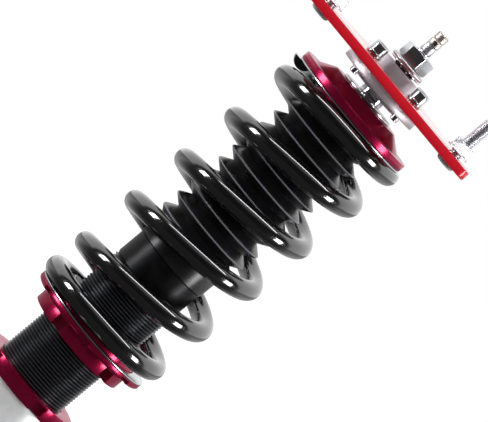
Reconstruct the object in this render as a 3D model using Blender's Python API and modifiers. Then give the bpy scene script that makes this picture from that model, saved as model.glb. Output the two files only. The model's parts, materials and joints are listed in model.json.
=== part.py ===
"""An adjustable suspension strut, with its camber plate, top bearing, spring, damper and knuckle bracket.

Metres, with +Z up along the strut. The origin is on the strut's axis, in the camber plate's top face.
-Y is the side with the two front studs and the knuckle bracket's mouth, and the camber slots run along Y.
"""

import math

import bmesh
import bpy
from mathutils import Matrix, Vector

# Clearance between faces that touch or screw together on the real strut
GAP = 0.0003
# Chamfer on turned edges, and how far a cutter runs past the faces that it opens
EDGE = 0.0006
CUT_PAST = 0.0010

# Camber plate and its studs
PLATE_THICKNESS = 0.0058
PLATE_MARGIN = 0.0140
PLATE_CORNER_RADIUS = 0.0070
PLATE_BACK_WIDTH = 0.0440
PLATE_SIDE_LENGTH = 0.0320
STUD_CIRCLE_RADIUS = 0.0652
STUD_RADIUS = 0.0040
STUD_HEIGHT = 0.0295
STUD_HEAD_RADIUS = 0.0065
STUD_HEAD_HEIGHT = 0.0022
TOWER_SHEET = 0.0024
TOWER_NUT_FLATS = 0.0130
TOWER_NUT_HEIGHT = 0.0060
TOWER_NUT_FLANGE_RADIUS = 0.0080
TOWER_NUT_FLANGE_HEIGHT = 0.0013

# Spherical bearing
BALL_DEPTH = 0.0023
BALL_RADIUS = 0.0087
BALL_WIDTH = 0.0100
LINER_WALL = 0.0006
LINER_WIDTH = 0.0064
RACE_WALL = 0.0011
RACE_WIDTH = 0.0070
CIRCLIP_HEIGHT = 0.0012
CIRCLIP_GRIP = 0.0007
CIRCLIP_REACH = 0.0014
CIRCLIP_MOUTH = 0.0060

# Bearing housing, which is screwed up against the plate and slides along the camber slots
CAMBER_TRAVEL = 0.0090
BOSS_WALL = 0.0017
BOSS_HEIGHT = 0.0072
BOSS_OPENING_CLEARANCE = 0.0026
HOUSING_FLANGE_RADIUS = 0.0294
HOUSING_FLANGE_HEIGHT = 0.0057
HOUSING_NOSE_RADIUS = 0.0180
HOUSING_NOSE_HEIGHT = 0.0022
SLOT_WEB = 0.0018
SCREW_RADIUS = 0.0029
SCREW_ROW_SPACING = 0.0260
SCREW_HEAD_RADIUS = 0.0050
SCREW_HEAD_HEIGHT = 0.0060
SCREW_KEY_FLATS = 0.0050
SCREW_KEY_DEPTH = 0.0030
SCREW_POINT_LENGTH = 0.0036
SCREW_WASHER_RADIUS = 0.0053
SCREW_WASHER_HEIGHT = 0.0018

# Stack on the rod's threaded end
ROD_END_RADIUS = 0.0060
SPACER_NECK_RADIUS = 0.0070
UPPER_SPACER_NECK_LENGTH = 0.0054
UPPER_SPACER_CONE_HEIGHT = 0.0008
UPPER_SPACER_RIM_HEIGHT = 0.0003
TOP_WASHER_RADIUS = 0.0124
TOP_WASHER_HEIGHT = 0.0028
TOP_NUT_FLATS = 0.0190
TOP_NUT_HEIGHT = 0.0096
TOP_NUT_TURN = math.radians(-10.6)
ROD_END_ABOVE_NUT = 0.0012
LOWER_SPACER_RADIUS = 0.0085
LOWER_SPACER_HEIGHT = 0.0109
PERCH_WASHER_RADIUS = 0.0200
PERCH_WASHER_HEIGHT = 0.0015

# Damping adjuster
ADJUSTER_BUSH_RADIUS = 0.0040
ADJUSTER_BUSH_HEIGHT = 0.0061
ADJUSTER_SPIGOT_RADIUS = 0.0029
ADJUSTER_SPIGOT_LENGTH = 0.0060
KNOB_NECK_RADIUS = 0.0041
KNOB_NECK_HEIGHT = 0.0032
KNOB_GRIP_RADIUS = 0.0039
KNOB_GRIP_HEIGHT = 0.0059
NEEDLE_RADIUS = 0.0015
NEEDLE_LENGTH = 0.2300
NEEDLE_ROOM = 0.0060
GRUB_RADIUS = 0.0011

# Upper spring perch
PERCH_TOP_RADIUS = 0.0260
PERCH_CONE_HEIGHT = 0.0070
PERCH_SHOULDER_RADIUS = 0.0365
PERCH_FLANGE_BEYOND_WIRE = 0.00235
PERCH_FLANGE_HEIGHT = 0.0048
PERCH_SPIGOT_RADIUS = 0.0250
PERCH_SPIGOT_HEIGHT = 0.0064
PERCH_ROOF = 0.0054
PERCH_RECESS_RADIUS = 0.0226
SPRING_WASHER_BORE = 0.0300
SPRING_WASHER_HEIGHT = 0.0009

# Coil spring: closed ends, ground flat
SPRING_LENGTH = 0.1956
SPRING_BORE_RADIUS = 0.03535
SPRING_WIRE_RADIUS = 0.0064
SPRING_ACTIVE_TURNS = 6.33
SPRING_END_PITCH = 0.0105
SPRING_FIRST_TIP_HEIGHT = 0.0029
SPRING_LAST_TIP_HEIGHT = 0.0010
SPRING_START_TURN = 0.20
POINTS_PER_TURN = 22

# Damper
ROD_RADIUS = 0.0090
ROD_SHOULDER_DEPTH = 0.0004
STEP_WASHER_RADIUS = 0.0105
STEP_WASHER_HEIGHT = 0.0012
ROD_LENGTH = 0.1800
BODY_DEPTH = 0.1358
BODY_LENGTH = 0.1654
BODY_RADIUS = 0.0259
BODY_WALL = 0.0037
BARE_BODY_LENGTH = 0.0186
THREAD_PITCH = 0.0020
THREAD_DEPTH = 0.00105
STROKE = 0.0750
GUIDE_HEAD_RADIUS = 0.0236
GUIDE_HEAD_HEIGHT = 0.0123
GUIDE_NOSE_RADIUS = 0.0170
GUIDE_NOSE_HEIGHT = 0.0045
GUIDE_DEPTH = 0.0204
GUIDE_BUSH_WALL = 0.0010
GUIDE_BUSH_LENGTH = 0.0160
SEAL_RADIUS = 0.0147
SEAL_HEIGHT = 0.0050
WIPER_HEIGHT = 0.0062
BODY_RING_RADIUS = 0.0007
PISTON_HEIGHT = 0.0110
PISTON_CLEARANCE = 0.0007
PISTON_BAND_HEIGHT = 0.0050
PISTON_BAND_WALL = 0.0007
SHIM_RADIUS = 0.0170
SHIM_HEIGHT = 0.0012
PISTON_NUT_FLATS = 0.0190
PISTON_NUT_HEIGHT = 0.0064
GAS_PISTON_ROOM = 0.0050
GAS_PISTON_HEIGHT = 0.0120
GAS_PISTON_WALL = 0.0050
BASE_CAP_PLUG_HEIGHT = 0.0080
BASE_CAP_FLANGE_HEIGHT = 0.0030
FILL_SCREW_RADIUS = 0.0030
FILL_SCREW_LENGTH = 0.0050

# Bump stop and dust boot
BUMP_STOP_RADIUS = 0.0190
BUMP_STOP_LENGTH = 0.0400
BUMP_STOP_MIDDLE = 0.0180
BUMP_STOP_WAIST = 0.0150
BUMP_STOP_TIP = 0.0118
BOOT_WALL = 0.0014
BOOT_PEAK_RADIUS = 0.0303
BOOT_VALLEY_RADIUS = 0.0225
BOOT_RIBS = 11
BOOT_CUFF_RADIUS = 0.0262
BOOT_CUFF_HEIGHT = 0.0140
BOOT_TOP_CUFF_HEIGHT = 0.0070

# Spring seat, lock collar and lock ring
SEAT_RIM_BEYOND_WIRE = 0.00245
SEAT_RIM_HEIGHT = 0.0036
SEAT_SPIGOT_HEIGHT = 0.0080
SEAT_SPIGOT_CLEARANCE = 0.0009
SEAT_RIM_LIP = 0.0009
SEAT_NOTCHES = 7
SEAT_NOTCH_WIDTH = 0.0088
SEAT_NOTCH_DEPTH = 0.0040
SEAT_NOTCH_TURN = math.radians(2.0)
COLLAR_RADIUS = 0.0353
COLLAR_HEIGHT = 0.0090
COLLAR_FLANGE_HEIGHT = 0.0016
COLLAR_NOTCHES = 5
COLLAR_NOTCH_WIDTH = 0.0086
COLLAR_NOTCH_DEPTH = 0.0053
COLLAR_NOTCH_TURN = math.radians(-24.0)
RING_NOTCH_TURN = math.radians(27.0)
BARE_THREAD_LENGTH = 0.0336

# Knuckle bracket
CUP_WALL = 0.0048
CUP_HEIGHT = 0.0600
EAR_SPACING = 0.0340
EAR_THICKNESS = 0.0050
EAR_REACH = 0.0310
EAR_TOP_DEPTH = 0.0138
EAR_HEIGHT = 0.0950
EAR_CORNER_RADIUS = 0.0080
EAR_WEB_THICKNESS = 0.0050
BOLT_RADIUS = 0.00715
BOLT_SPACING = 0.0600
BOLT_REACH = 0.0170

# Facets around the larger, middling and smaller round pieces
LARGE = 32
MEDIUM = 20
SMALL = 14

# Heights of the seams, from the plate's top face down
plate_bottom = -PLATE_THICKNESS
flange_top = plate_bottom - GAP
flange_bottom = flange_top - HOUSING_FLANGE_HEIGHT
nose_bottom = flange_bottom - HOUSING_NOSE_HEIGHT
ball_centre = -BALL_DEPTH
ball_top = ball_centre + BALL_WIDTH / 2
ball_bottom = ball_centre - BALL_WIDTH / 2
upper_spacer_bottom = ball_top + GAP
upper_spacer_cone = upper_spacer_bottom + UPPER_SPACER_NECK_LENGTH
upper_spacer_rim = upper_spacer_cone + UPPER_SPACER_CONE_HEIGHT
upper_spacer_top = upper_spacer_rim + UPPER_SPACER_RIM_HEIGHT
top_washer_bottom = upper_spacer_top + GAP
top_nut_bottom = top_washer_bottom + TOP_WASHER_HEIGHT + GAP
rod_top = top_nut_bottom + TOP_NUT_HEIGHT + ROD_END_ABOVE_NUT
lower_spacer_top = ball_bottom - GAP
lower_spacer_bottom = lower_spacer_top - LOWER_SPACER_HEIGHT
perch_washer_top = lower_spacer_bottom - GAP
perch_top = perch_washer_top - PERCH_WASHER_HEIGHT - GAP
perch_shoulder = perch_top - PERCH_CONE_HEIGHT
perch_flange_bottom = perch_shoulder - PERCH_FLANGE_HEIGHT
perch_spigot_bottom = perch_flange_bottom - PERCH_SPIGOT_HEIGHT
perch_roof_bottom = perch_top - PERCH_ROOF
step_washer_top = perch_roof_bottom - GAP
step_washer_bottom = step_washer_top - STEP_WASHER_HEIGHT
rod_shoulder = step_washer_bottom - GAP
slip_washer_top = perch_flange_bottom - GAP
spring_top = slip_washer_top - SPRING_WASHER_HEIGHT
spring_bottom = spring_top - SPRING_LENGTH
seat_washer_bottom = spring_bottom - SPRING_WASHER_HEIGHT
seat_top = seat_washer_bottom - GAP
seat_bottom = seat_top - SEAT_RIM_HEIGHT
collar_top = seat_bottom - GAP
collar_bottom = collar_top - COLLAR_HEIGHT
ring_top = collar_bottom - BARE_THREAD_LENGTH
ring_bottom = ring_top - COLLAR_HEIGHT
cup_top = ring_bottom - GAP
cup_bottom = cup_top - CUP_HEIGHT
body_top = spring_top - BODY_DEPTH
body_bottom = body_top - BODY_LENGTH
guide_seat = body_top + GAP
guide_shoulder = guide_seat + GUIDE_HEAD_HEIGHT
guide_top = guide_shoulder + GUIDE_NOSE_HEIGHT
guide_bottom = body_top - GUIDE_DEPTH
rod_bottom = rod_shoulder - ROD_LENGTH
rod_tip = rod_bottom - SHIM_HEIGHT * 2 - PISTON_HEIGHT - PISTON_NUT_HEIGHT - GAP * 5
body_bore_radius = BODY_RADIUS - BODY_WALL
gas_piston_travel = STROKE * (ROD_RADIUS / body_bore_radius) ** 2
gas_piston_top = rod_tip - STROKE + gas_piston_travel - GAS_PISTON_ROOM
cap_seat = body_bottom - GAP
cap_top = cap_seat + BASE_CAP_PLUG_HEIGHT
cap_bottom = cap_seat - BASE_CAP_FLANGE_HEIGHT

# Radii that follow from what a piece goes round or fits into
rod_end_bore = ROD_END_RADIUS + GAP
liner_bore = BALL_RADIUS + GAP
liner_radius = liner_bore + LINER_WALL
race_bore = liner_radius + GAP
race_radius = race_bore + RACE_WALL
housing_bore = race_radius + GAP
boss_radius = housing_bore + BOSS_WALL
boss_opening = SPACER_NECK_RADIUS + BOSS_OPENING_CLEARANCE
screw_slot_radius = SCREW_RADIUS + GAP
boss_slot_radius = boss_radius + GAP
screw_offset = boss_slot_radius + SLOT_WEB + screw_slot_radius
rod_clearance = ROD_RADIUS + GAP
body_clearance = BODY_RADIUS + GAP
body_fit = body_bore_radius - GAP
spring_mean_radius = SPRING_BORE_RADIUS + SPRING_WIRE_RADIUS
seat_rim_radius = spring_mean_radius + SEAT_RIM_BEYOND_WIRE
perch_flange_radius = spring_mean_radius + PERCH_FLANGE_BEYOND_WIRE
cup_radius = body_clearance + CUP_WALL


for leftover in list(bpy.data.objects):
    bpy.data.objects.remove(leftover, do_unlink=True)

scene = bpy.context.scene
parts = bpy.data.collections.new("coilover")
helpers = bpy.data.collections.new("cutters")
scene.collection.children.link(parts)
scene.collection.children.link(helpers)


def linear(hex_colour):
    """Linear RGBA of an sRGB colour such as 'C8102E'."""
    channels = [int(hex_colour[i:i + 2], 16) / 255 for i in (0, 2, 4)]
    return [c / 12.92 if c <= 0.04045 else ((c + 0.055) / 1.055) ** 2.4 for c in channels] + [1.0]


def material(name, hex_colour, roughness, metallic):
    made = bpy.data.materials.new(name)
    made.use_nodes = True
    shader = made.node_tree.nodes["Principled BSDF"]
    shader.inputs["Base Color"].default_value = linear(hex_colour)
    shader.inputs["Roughness"].default_value = roughness
    shader.inputs["Metallic"].default_value = metallic
    return made


red_anodised = material("red_anodised_aluminium", "C8102E", 0.30, 0.8)
magenta_anodised = material("magenta_anodised_aluminium", "B11A5A", 0.28, 0.9)
bright_steel = material("zinc_plated_steel", "C9CBCE", 0.22, 1.0)
polished_steel = material("hard_chromed_steel", "D8DADD", 0.08, 1.0)
machined_aluminium = material("machined_aluminium", "C4C6C9", 0.30, 1.0)
black_body = material("black_coated_steel", "141416", 0.35, 0.6)
black_spring = material("black_powder_coat", "101012", 0.16, 0.0)
black_steel = material("blackened_steel", "1C1C1E", 0.40, 0.8)
black_rubber = material("black_rubber", "121214", 0.55, 0.0)
foam = material("polyurethane_foam", "D9B93A", 0.75, 0.0)
brass = material("brass", "B08A4A", 0.30, 1.0)
bronze = material("sintered_bronze", "8C6A3C", 0.45, 1.0)
ptfe = material("ptfe_liner", "6A5A3A", 0.60, 0.0)


# Joint frames: one empty for each body that moves, on its joint's axis

def joint_frame(name, parent, height):
    frame = bpy.data.objects.new(name, None)
    frame.empty_display_size = 0.02
    parts.objects.link(frame)
    frame.parent = parent
    frame["height"] = height
    frame.location.z = height - (parent["height"] if parent else 0.0)
    return frame


plate_frame = joint_frame("plate_frame", None, 0.0)
carrier_frame = joint_frame("carrier_frame", plate_frame, plate_bottom)
liner_frame = joint_frame("liner_frame", carrier_frame, ball_centre)
rod_frame = joint_frame("rod_frame", liner_frame, ball_centre)
adjuster_frame = joint_frame("adjuster_frame", rod_frame, rod_top)
spring_frame = joint_frame("spring_frame", rod_frame, spring_top)
strut_frame = joint_frame("strut_frame", spring_frame, body_top)
gas_piston_frame = joint_frame("gas_piston_frame", strut_frame, gas_piston_top)
seat_frame = joint_frame("seat_frame", strut_frame, seat_top)
collar_frame = joint_frame("collar_frame", seat_frame, collar_top)
ring_frame = joint_frame("ring_frame", strut_frame, ring_top)
bracket_frame = joint_frame("bracket_frame", strut_frame, cup_top)


def add_object(name, data, frame=None, height=0.0):
    """Put a new object on a joint frame at its world height, or among the helpers when it has no frame."""
    made = bpy.data.objects.new(name, data)
    if frame is None:
        helpers.objects.link(made)
        made.hide_render = True
        made.display_type = "WIRE"
        made.location.z = height
    else:
        parts.objects.link(made)
        made.parent = frame
        made.location.z = height - frame["height"]
    return made


def soften(mesh, angle=35.0):
    mesh.shade_smooth()
    mesh.set_sharp_from_angle(angle=math.radians(angle))


def turned(name, frame, finish, profile, steps):
    """Turn a profile of (radius, height) points about the axis, down its outer side and back up its bore."""
    start = profile[0][1]
    mesh = bpy.data.meshes.new(name)
    points = [(radius, 0.0, height - start) for radius, height in profile]
    edges = [(i, i + 1) for i in range(len(points) - 1)]
    if profile[0][0] > 0.0:
        edges.append((len(points) - 1, 0))
    mesh.from_pydata(points, edges, [])
    mesh.materials.append(finish)
    made = add_object(name, mesh, frame, start)
    screw = made.modifiers.new("turn", "SCREW")
    screw.steps = steps
    screw.render_steps = steps
    screw.use_merge_vertices = True
    screw.merge_threshold = 0.00001
    screw.use_smooth_shade = True
    return made


def ring_profile(bore, radius, top, bottom, chamfer=0.0):
    """A washer, bush or sleeve, with its two outer edges chamfered."""
    if chamfer <= 0.0:
        return [(bore, top), (radius, top), (radius, bottom), (bore, bottom)]
    return [
        (bore, top),
        (radius - chamfer, top),
        (radius, top - chamfer),
        (radius, bottom + chamfer),
        (radius - chamfer, bottom),
        (bore, bottom),
    ]


def disc_profile(radius, top, bottom):
    return [(0.0, top), (radius, top), (radius, bottom), (0.0, bottom)]


def drill(name, radius, top, bottom, steps=SMALL):
    """A helper cylinder on the strut's axis."""
    return turned(name, None, bright_steel, disc_profile(radius, top, bottom), steps)


def hexagon(name, frame, finish, flats, bottom, height, turn=0.0):
    """A hexagonal bar with a flat facing -Y before it is turned."""
    corner = flats / math.sqrt(3.0)
    place = Matrix.Rotation(turn + math.radians(30.0), 4, "Z") @ Matrix.Translation((0.0, 0.0, height / 2))
    shape = bmesh.new()
    bmesh.ops.create_cone(
        shape, cap_ends=True, segments=6, radius1=corner, radius2=corner, depth=height, matrix=place
    )
    mesh = bpy.data.meshes.new(name)
    shape.to_mesh(mesh)
    shape.free()
    mesh.materials.append(finish)
    return add_object(name, mesh, frame, bottom)


def boolean(target, other, operation="DIFFERENCE"):
    modifier = target.modifiers.new(other.name, "BOOLEAN")
    modifier.operation = operation
    modifier.solver = "EXACT"
    modifier.object = other
    return target


def evaluated_mesh(source):
    """The finished mesh of an object in world space, with the loose caps of a curve welded on."""
    graph = bpy.context.evaluated_depsgraph_get()
    graph.update()
    finished = source.evaluated_get(graph)
    mesh = bpy.data.meshes.new_from_object(finished)
    mesh.transform(finished.matrix_world)
    shape = bmesh.new()
    shape.from_mesh(mesh)
    bmesh.ops.remove_doubles(shape, verts=shape.verts, dist=0.000002)
    bmesh.ops.recalc_face_normals(shape, faces=shape.faces)
    shape.to_mesh(mesh)
    shape.free()
    return mesh


def copies(name, frame, finish, pattern, places):
    """One object that holds a copy of a helper piece at each place, which is given in world space."""
    source = evaluated_mesh(pattern)
    shape = bmesh.new()
    for place in places:
        first = len(shape.verts)
        shape.from_mesh(source)
        shape.verts.ensure_lookup_table()
        bmesh.ops.transform(shape, matrix=place, verts=shape.verts[first:])
    height = frame["height"] if frame else 0.0
    bmesh.ops.translate(shape, vec=(0.0, 0.0, -height), verts=shape.verts)
    mesh = bpy.data.meshes.new(name)
    shape.to_mesh(mesh)
    shape.free()
    mesh.materials.clear()
    mesh.materials.append(finish)
    soften(mesh)
    return add_object(name, mesh, frame, height)


def one_at_each(name, frame, finish, pattern, places):
    """A separate object for each place, named for the side it is on."""
    for side, place in places.items():
        copies(f"{name}_{side}", frame, finish, pattern, [place])


def blocks(name, centres, size, turns):
    """A helper made of boxes of one size, each turned about the axis after it is moved out along -Y."""
    shape = bmesh.new()
    for centre, turn in zip(centres, turns):
        place = Matrix.Rotation(turn, 4, "Z") @ Matrix.Translation(centre) @ Matrix.Diagonal((*size, 1.0))
        bmesh.ops.create_cube(shape, size=1.0, matrix=place)
    mesh = bpy.data.meshes.new(name)
    shape.to_mesh(mesh)
    shape.free()
    return add_object(name, mesh)


def rounded_corners(corners, radius, points_per_corner=5):
    """The outline through these corners, anticlockwise, with each one rounded by an arc."""
    outline = []
    for i, corner in enumerate(corners):
        here = Vector(corner)
        to_last = (Vector(corners[i - 1]) - here).normalized()
        to_next = (Vector(corners[(i + 1) % len(corners)]) - here).normalized()
        half_angle = to_last.angle(to_next) / 2
        centre = here + (to_last + to_next).normalized() * (radius / math.sin(half_angle))
        start = here + to_last * (radius / math.tan(half_angle)) - centre
        sweep = math.pi - 2 * half_angle
        for k in range(points_per_corner):
            turned_by = sweep * k / (points_per_corner - 1)
            outline.append(centre + Matrix.Rotation(turned_by, 2) @ start)
    return outline


def circle_outline(x, y, radius, count):
    steps = [2 * math.pi * k / count for k in range(count)]
    return [Vector((x + radius * math.cos(a), y + radius * math.sin(a))) for a in steps]


def slot_outline(x, half_length, radius, count):
    """A slot with round ends that runs along Y, centred on Y = 0."""
    outline = []
    for k in range(count + 1):
        angle = math.pi * k / count
        outline.append(Vector((x + radius * math.cos(angle), half_length + radius * math.sin(angle))))
    for k in range(count + 1):
        angle = math.pi + math.pi * k / count
        outline.append(Vector((x + radius * math.cos(angle), -half_length + radius * math.sin(angle))))
    return outline


def flat_curve(name, outlines, thickness):
    """A 2D curve with holes, extruded by half its thickness each way."""
    curve = bpy.data.curves.new(name, "CURVE")
    curve.dimensions = "2D"
    curve.fill_mode = "BOTH"
    curve.extrude = thickness / 2
    for outline in outlines:
        spline = curve.splines.new("POLY")
        spline.points.add(len(outline) - 1)
        for point, place in zip(spline.points, outline):
            point.co = (place.x, place.y, 0.0, 1.0)
        spline.use_cyclic_u = True
    return curve


# Camber plate, with its studs and nuts

stud_angles = {"right": math.radians(-30.0), "back": math.radians(90.0), "left": math.radians(210.0)}
stud_places = {
    side: Matrix.Rotation(angle, 4, "Z") @ Matrix.Translation((STUD_CIRCLE_RADIUS, 0.0, 0.0))
    for side, angle in stud_angles.items()
}
tower_nut_turns = {"right": math.radians(30.0), "back": math.radians(12.0), "left": math.radians(-22.0)}


def camber_plate():
    side = stud_places["right"].translation.x + PLATE_MARGIN
    front = stud_places["right"].translation.y - PLATE_MARGIN
    back = stud_places["back"].translation.y + PLATE_MARGIN
    half_back = PLATE_BACK_WIDTH / 2
    corners = [
        (side, front),
        (side, front + PLATE_SIDE_LENGTH),
        (half_back, back),
        (-half_back, back),
        (-side, front + PLATE_SIDE_LENGTH),
        (-side, front),
    ]
    outlines = [rounded_corners(corners, PLATE_CORNER_RADIUS)]
    studs = [place.translation for place in stud_places.values()]
    outlines += [circle_outline(stud.x, stud.y, STUD_RADIUS + GAP, SMALL) for stud in studs]
    outlines.append(slot_outline(0.0, CAMBER_TRAVEL + GAP, boss_slot_radius, 10))
    screw_reach = SCREW_ROW_SPACING / 2 + CAMBER_TRAVEL + GAP
    outlines += [slot_outline(x, screw_reach, screw_slot_radius, 6) for x in (-screw_offset, screw_offset)]
    plate = add_object("camber_plate", flat_curve("camber_plate", outlines, PLATE_THICKNESS), plate_frame)
    plate.location.z = -PLATE_THICKNESS / 2
    plate.data.materials.append(red_anodised)


def tower_studs():
    head_top = plate_bottom - GAP
    profile = [
        (0.0, STUD_HEIGHT),
        (STUD_RADIUS - EDGE, STUD_HEIGHT),
        (STUD_RADIUS, STUD_HEIGHT - EDGE),
        (STUD_RADIUS, head_top),
        (STUD_HEAD_RADIUS, head_top),
        (STUD_HEAD_RADIUS - STUD_HEAD_HEIGHT / 2, head_top - STUD_HEAD_HEIGHT),
        (0.0, head_top - STUD_HEAD_HEIGHT),
    ]
    pattern = turned("stud_pattern", None, bright_steel, profile, SMALL)
    one_at_each("tower_stud", plate_frame, bright_steel, pattern, stud_places)


def chamfer_disc(name, flats, bottom, height):
    """What a lathe leaves of a hexagon: a disc as wide as its corners, with both rims turned off."""
    corner = flats / math.sqrt(3.0) + CUT_PAST
    rim = (corner - flats / 2) / 2
    top = bottom + height
    profile = [
        (0.0, top),
        (flats / 2, top),
        (corner, top - rim),
        (corner, bottom + rim),
        (flats / 2, bottom),
        (0.0, bottom),
    ]
    return turned(name, None, bright_steel, profile, MEDIUM)


def tower_nuts():
    hex_bottom = TOWER_SHEET + TOWER_NUT_FLANGE_HEIGHT
    nut = hexagon("nut_pattern", None, bright_steel, TOWER_NUT_FLATS, hex_bottom, TOWER_NUT_HEIGHT)
    flange_profile = [
        (0.0, hex_bottom + EDGE),
        (TOWER_NUT_FLATS / 2, hex_bottom + EDGE),
        (TOWER_NUT_FLANGE_RADIUS, TOWER_SHEET + TOWER_NUT_FLANGE_HEIGHT / 2),
        (TOWER_NUT_FLANGE_RADIUS, TOWER_SHEET),
        (0.0, TOWER_SHEET),
    ]
    boolean(nut, turned("nut_flange", None, bright_steel, flange_profile, SMALL), "UNION")
    top = hex_bottom + TOWER_NUT_HEIGHT
    boolean(nut, drill("nut_bore", STUD_RADIUS + GAP, top + CUT_PAST, TOWER_SHEET - CUT_PAST))
    places = {
        side: stud_places[side] @ Matrix.Rotation(turn, 4, "Z") for side, turn in tower_nut_turns.items()
    }
    one_at_each("tower_nut", plate_frame, bright_steel, nut, places)


# Bearing housing and spherical bearing

screw_places = {
    f"{end}_{side}": Matrix.Translation((x, y, 0.0))
    for end, y in (("front", -SCREW_ROW_SPACING / 2), ("back", SCREW_ROW_SPACING / 2))
    for side, x in (("left", -screw_offset), ("right", screw_offset))
}


def bearing_housing():
    shoulder = ball_centre + RACE_WIDTH / 2 + GAP
    clip_top = ball_centre - RACE_WIDTH / 2 - GAP
    clip_bottom = clip_top - CIRCLIP_HEIGHT
    groove = housing_bore + CIRCLIP_GRIP + GAP
    profile = [
        (boss_opening, BOSS_HEIGHT),
        (boss_radius - EDGE, BOSS_HEIGHT),
        (boss_radius, BOSS_HEIGHT - EDGE),
        (boss_radius, flange_top),
        (HOUSING_FLANGE_RADIUS - EDGE, flange_top),
        (HOUSING_FLANGE_RADIUS, flange_top - EDGE),
        (HOUSING_FLANGE_RADIUS, flange_bottom + EDGE),
        (HOUSING_FLANGE_RADIUS - EDGE, flange_bottom),
        (HOUSING_NOSE_RADIUS, flange_bottom),
        (HOUSING_NOSE_RADIUS - HOUSING_NOSE_HEIGHT, nose_bottom),
        (housing_bore, nose_bottom),
        (housing_bore, clip_bottom - GAP),
        (groove, clip_bottom - GAP),
        (groove, clip_top + GAP),
        (housing_bore, clip_top + GAP),
        (housing_bore, shoulder),
        (boss_opening, shoulder),
    ]
    housing = turned("bearing_housing", carrier_frame, machined_aluminium, profile, LARGE)
    hole = drill("housing_hole", screw_slot_radius, flange_top + CUT_PAST, flange_bottom - CUT_PAST, 12)
    boolean(housing, copies("housing_holes", None, bright_steel, hole, screw_places.values()))

    clip_bore = housing_bore - CIRCLIP_REACH
    clip_profile = ring_profile(clip_bore, housing_bore + CIRCLIP_GRIP, clip_top, clip_bottom)
    clip = turned("race_circlip", carrier_frame, black_steel, clip_profile, MEDIUM)
    mouth = blocks("circlip_mouth", [(0.0, -housing_bore, clip_bottom)], [CIRCLIP_MOUTH] * 3, [0.0])
    boolean(clip, mouth)


def housing_screws():
    washer_top = GAP + SCREW_WASHER_HEIGHT
    head_bottom = washer_top + GAP
    head_top = head_bottom + SCREW_HEAD_HEIGHT
    point = flange_bottom - SCREW_POINT_LENGTH
    profile = [
        (0.0, head_top),
        (SCREW_HEAD_RADIUS - EDGE, head_top),
        (SCREW_HEAD_RADIUS, head_top - EDGE),
        (SCREW_HEAD_RADIUS, head_bottom),
        (SCREW_RADIUS, head_bottom),
        (SCREW_RADIUS, point + EDGE),
        (SCREW_RADIUS - EDGE, point),
        (0.0, point),
    ]
    screw = turned("screw_pattern", None, bright_steel, profile, SMALL)
    key_bottom = head_top - SCREW_KEY_DEPTH
    key = hexagon("screw_key", None, bright_steel, SCREW_KEY_FLATS, key_bottom, SCREW_KEY_DEPTH * 2)
    boolean(screw, key)
    one_at_each("housing_screw", carrier_frame, bright_steel, screw, screw_places)

    washer_profile = ring_profile(SCREW_RADIUS + GAP, SCREW_WASHER_RADIUS, washer_top, GAP)
    washer = turned("screw_washer_pattern", None, bright_steel, washer_profile, SMALL)
    one_at_each("screw_washer", carrier_frame, bright_steel, washer, screw_places)


def sphere_band(radius, half_width, count, upward):
    """Points down a sphere's side between two heights, or back up it for a bore."""
    limit = math.asin(half_width / radius)
    order = range(count + 1)
    points = []
    for k in order:
        angle = limit - 2 * limit * k / count
        points.append((radius * math.cos(angle), ball_centre + radius * math.sin(angle)))
    return points[::-1] if upward else points


def spherical_bearing():
    race_top = ball_centre + RACE_WIDTH / 2
    race_bottom = ball_centre - RACE_WIDTH / 2
    race_profile = [(race_radius, race_top), (race_radius, race_bottom)]
    race_profile += sphere_band(race_bore, RACE_WIDTH / 2, 4, upward=True)
    turned("bearing_race", carrier_frame, bright_steel, race_profile, MEDIUM)

    liner_profile = sphere_band(liner_radius, LINER_WIDTH / 2, 4, upward=False)
    liner_profile += sphere_band(liner_bore, LINER_WIDTH / 2, 4, upward=True)
    turned("bearing_liner", liner_frame, ptfe, liner_profile, MEDIUM)

    ball_profile = [(rod_end_bore, ball_top)]
    ball_profile += sphere_band(BALL_RADIUS, BALL_WIDTH / 2, 6, upward=False)
    ball_profile.append((rod_end_bore, ball_bottom))
    turned("bearing_ball", rod_frame, polished_steel, ball_profile, MEDIUM)


# Stack on the rod's threaded end

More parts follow.
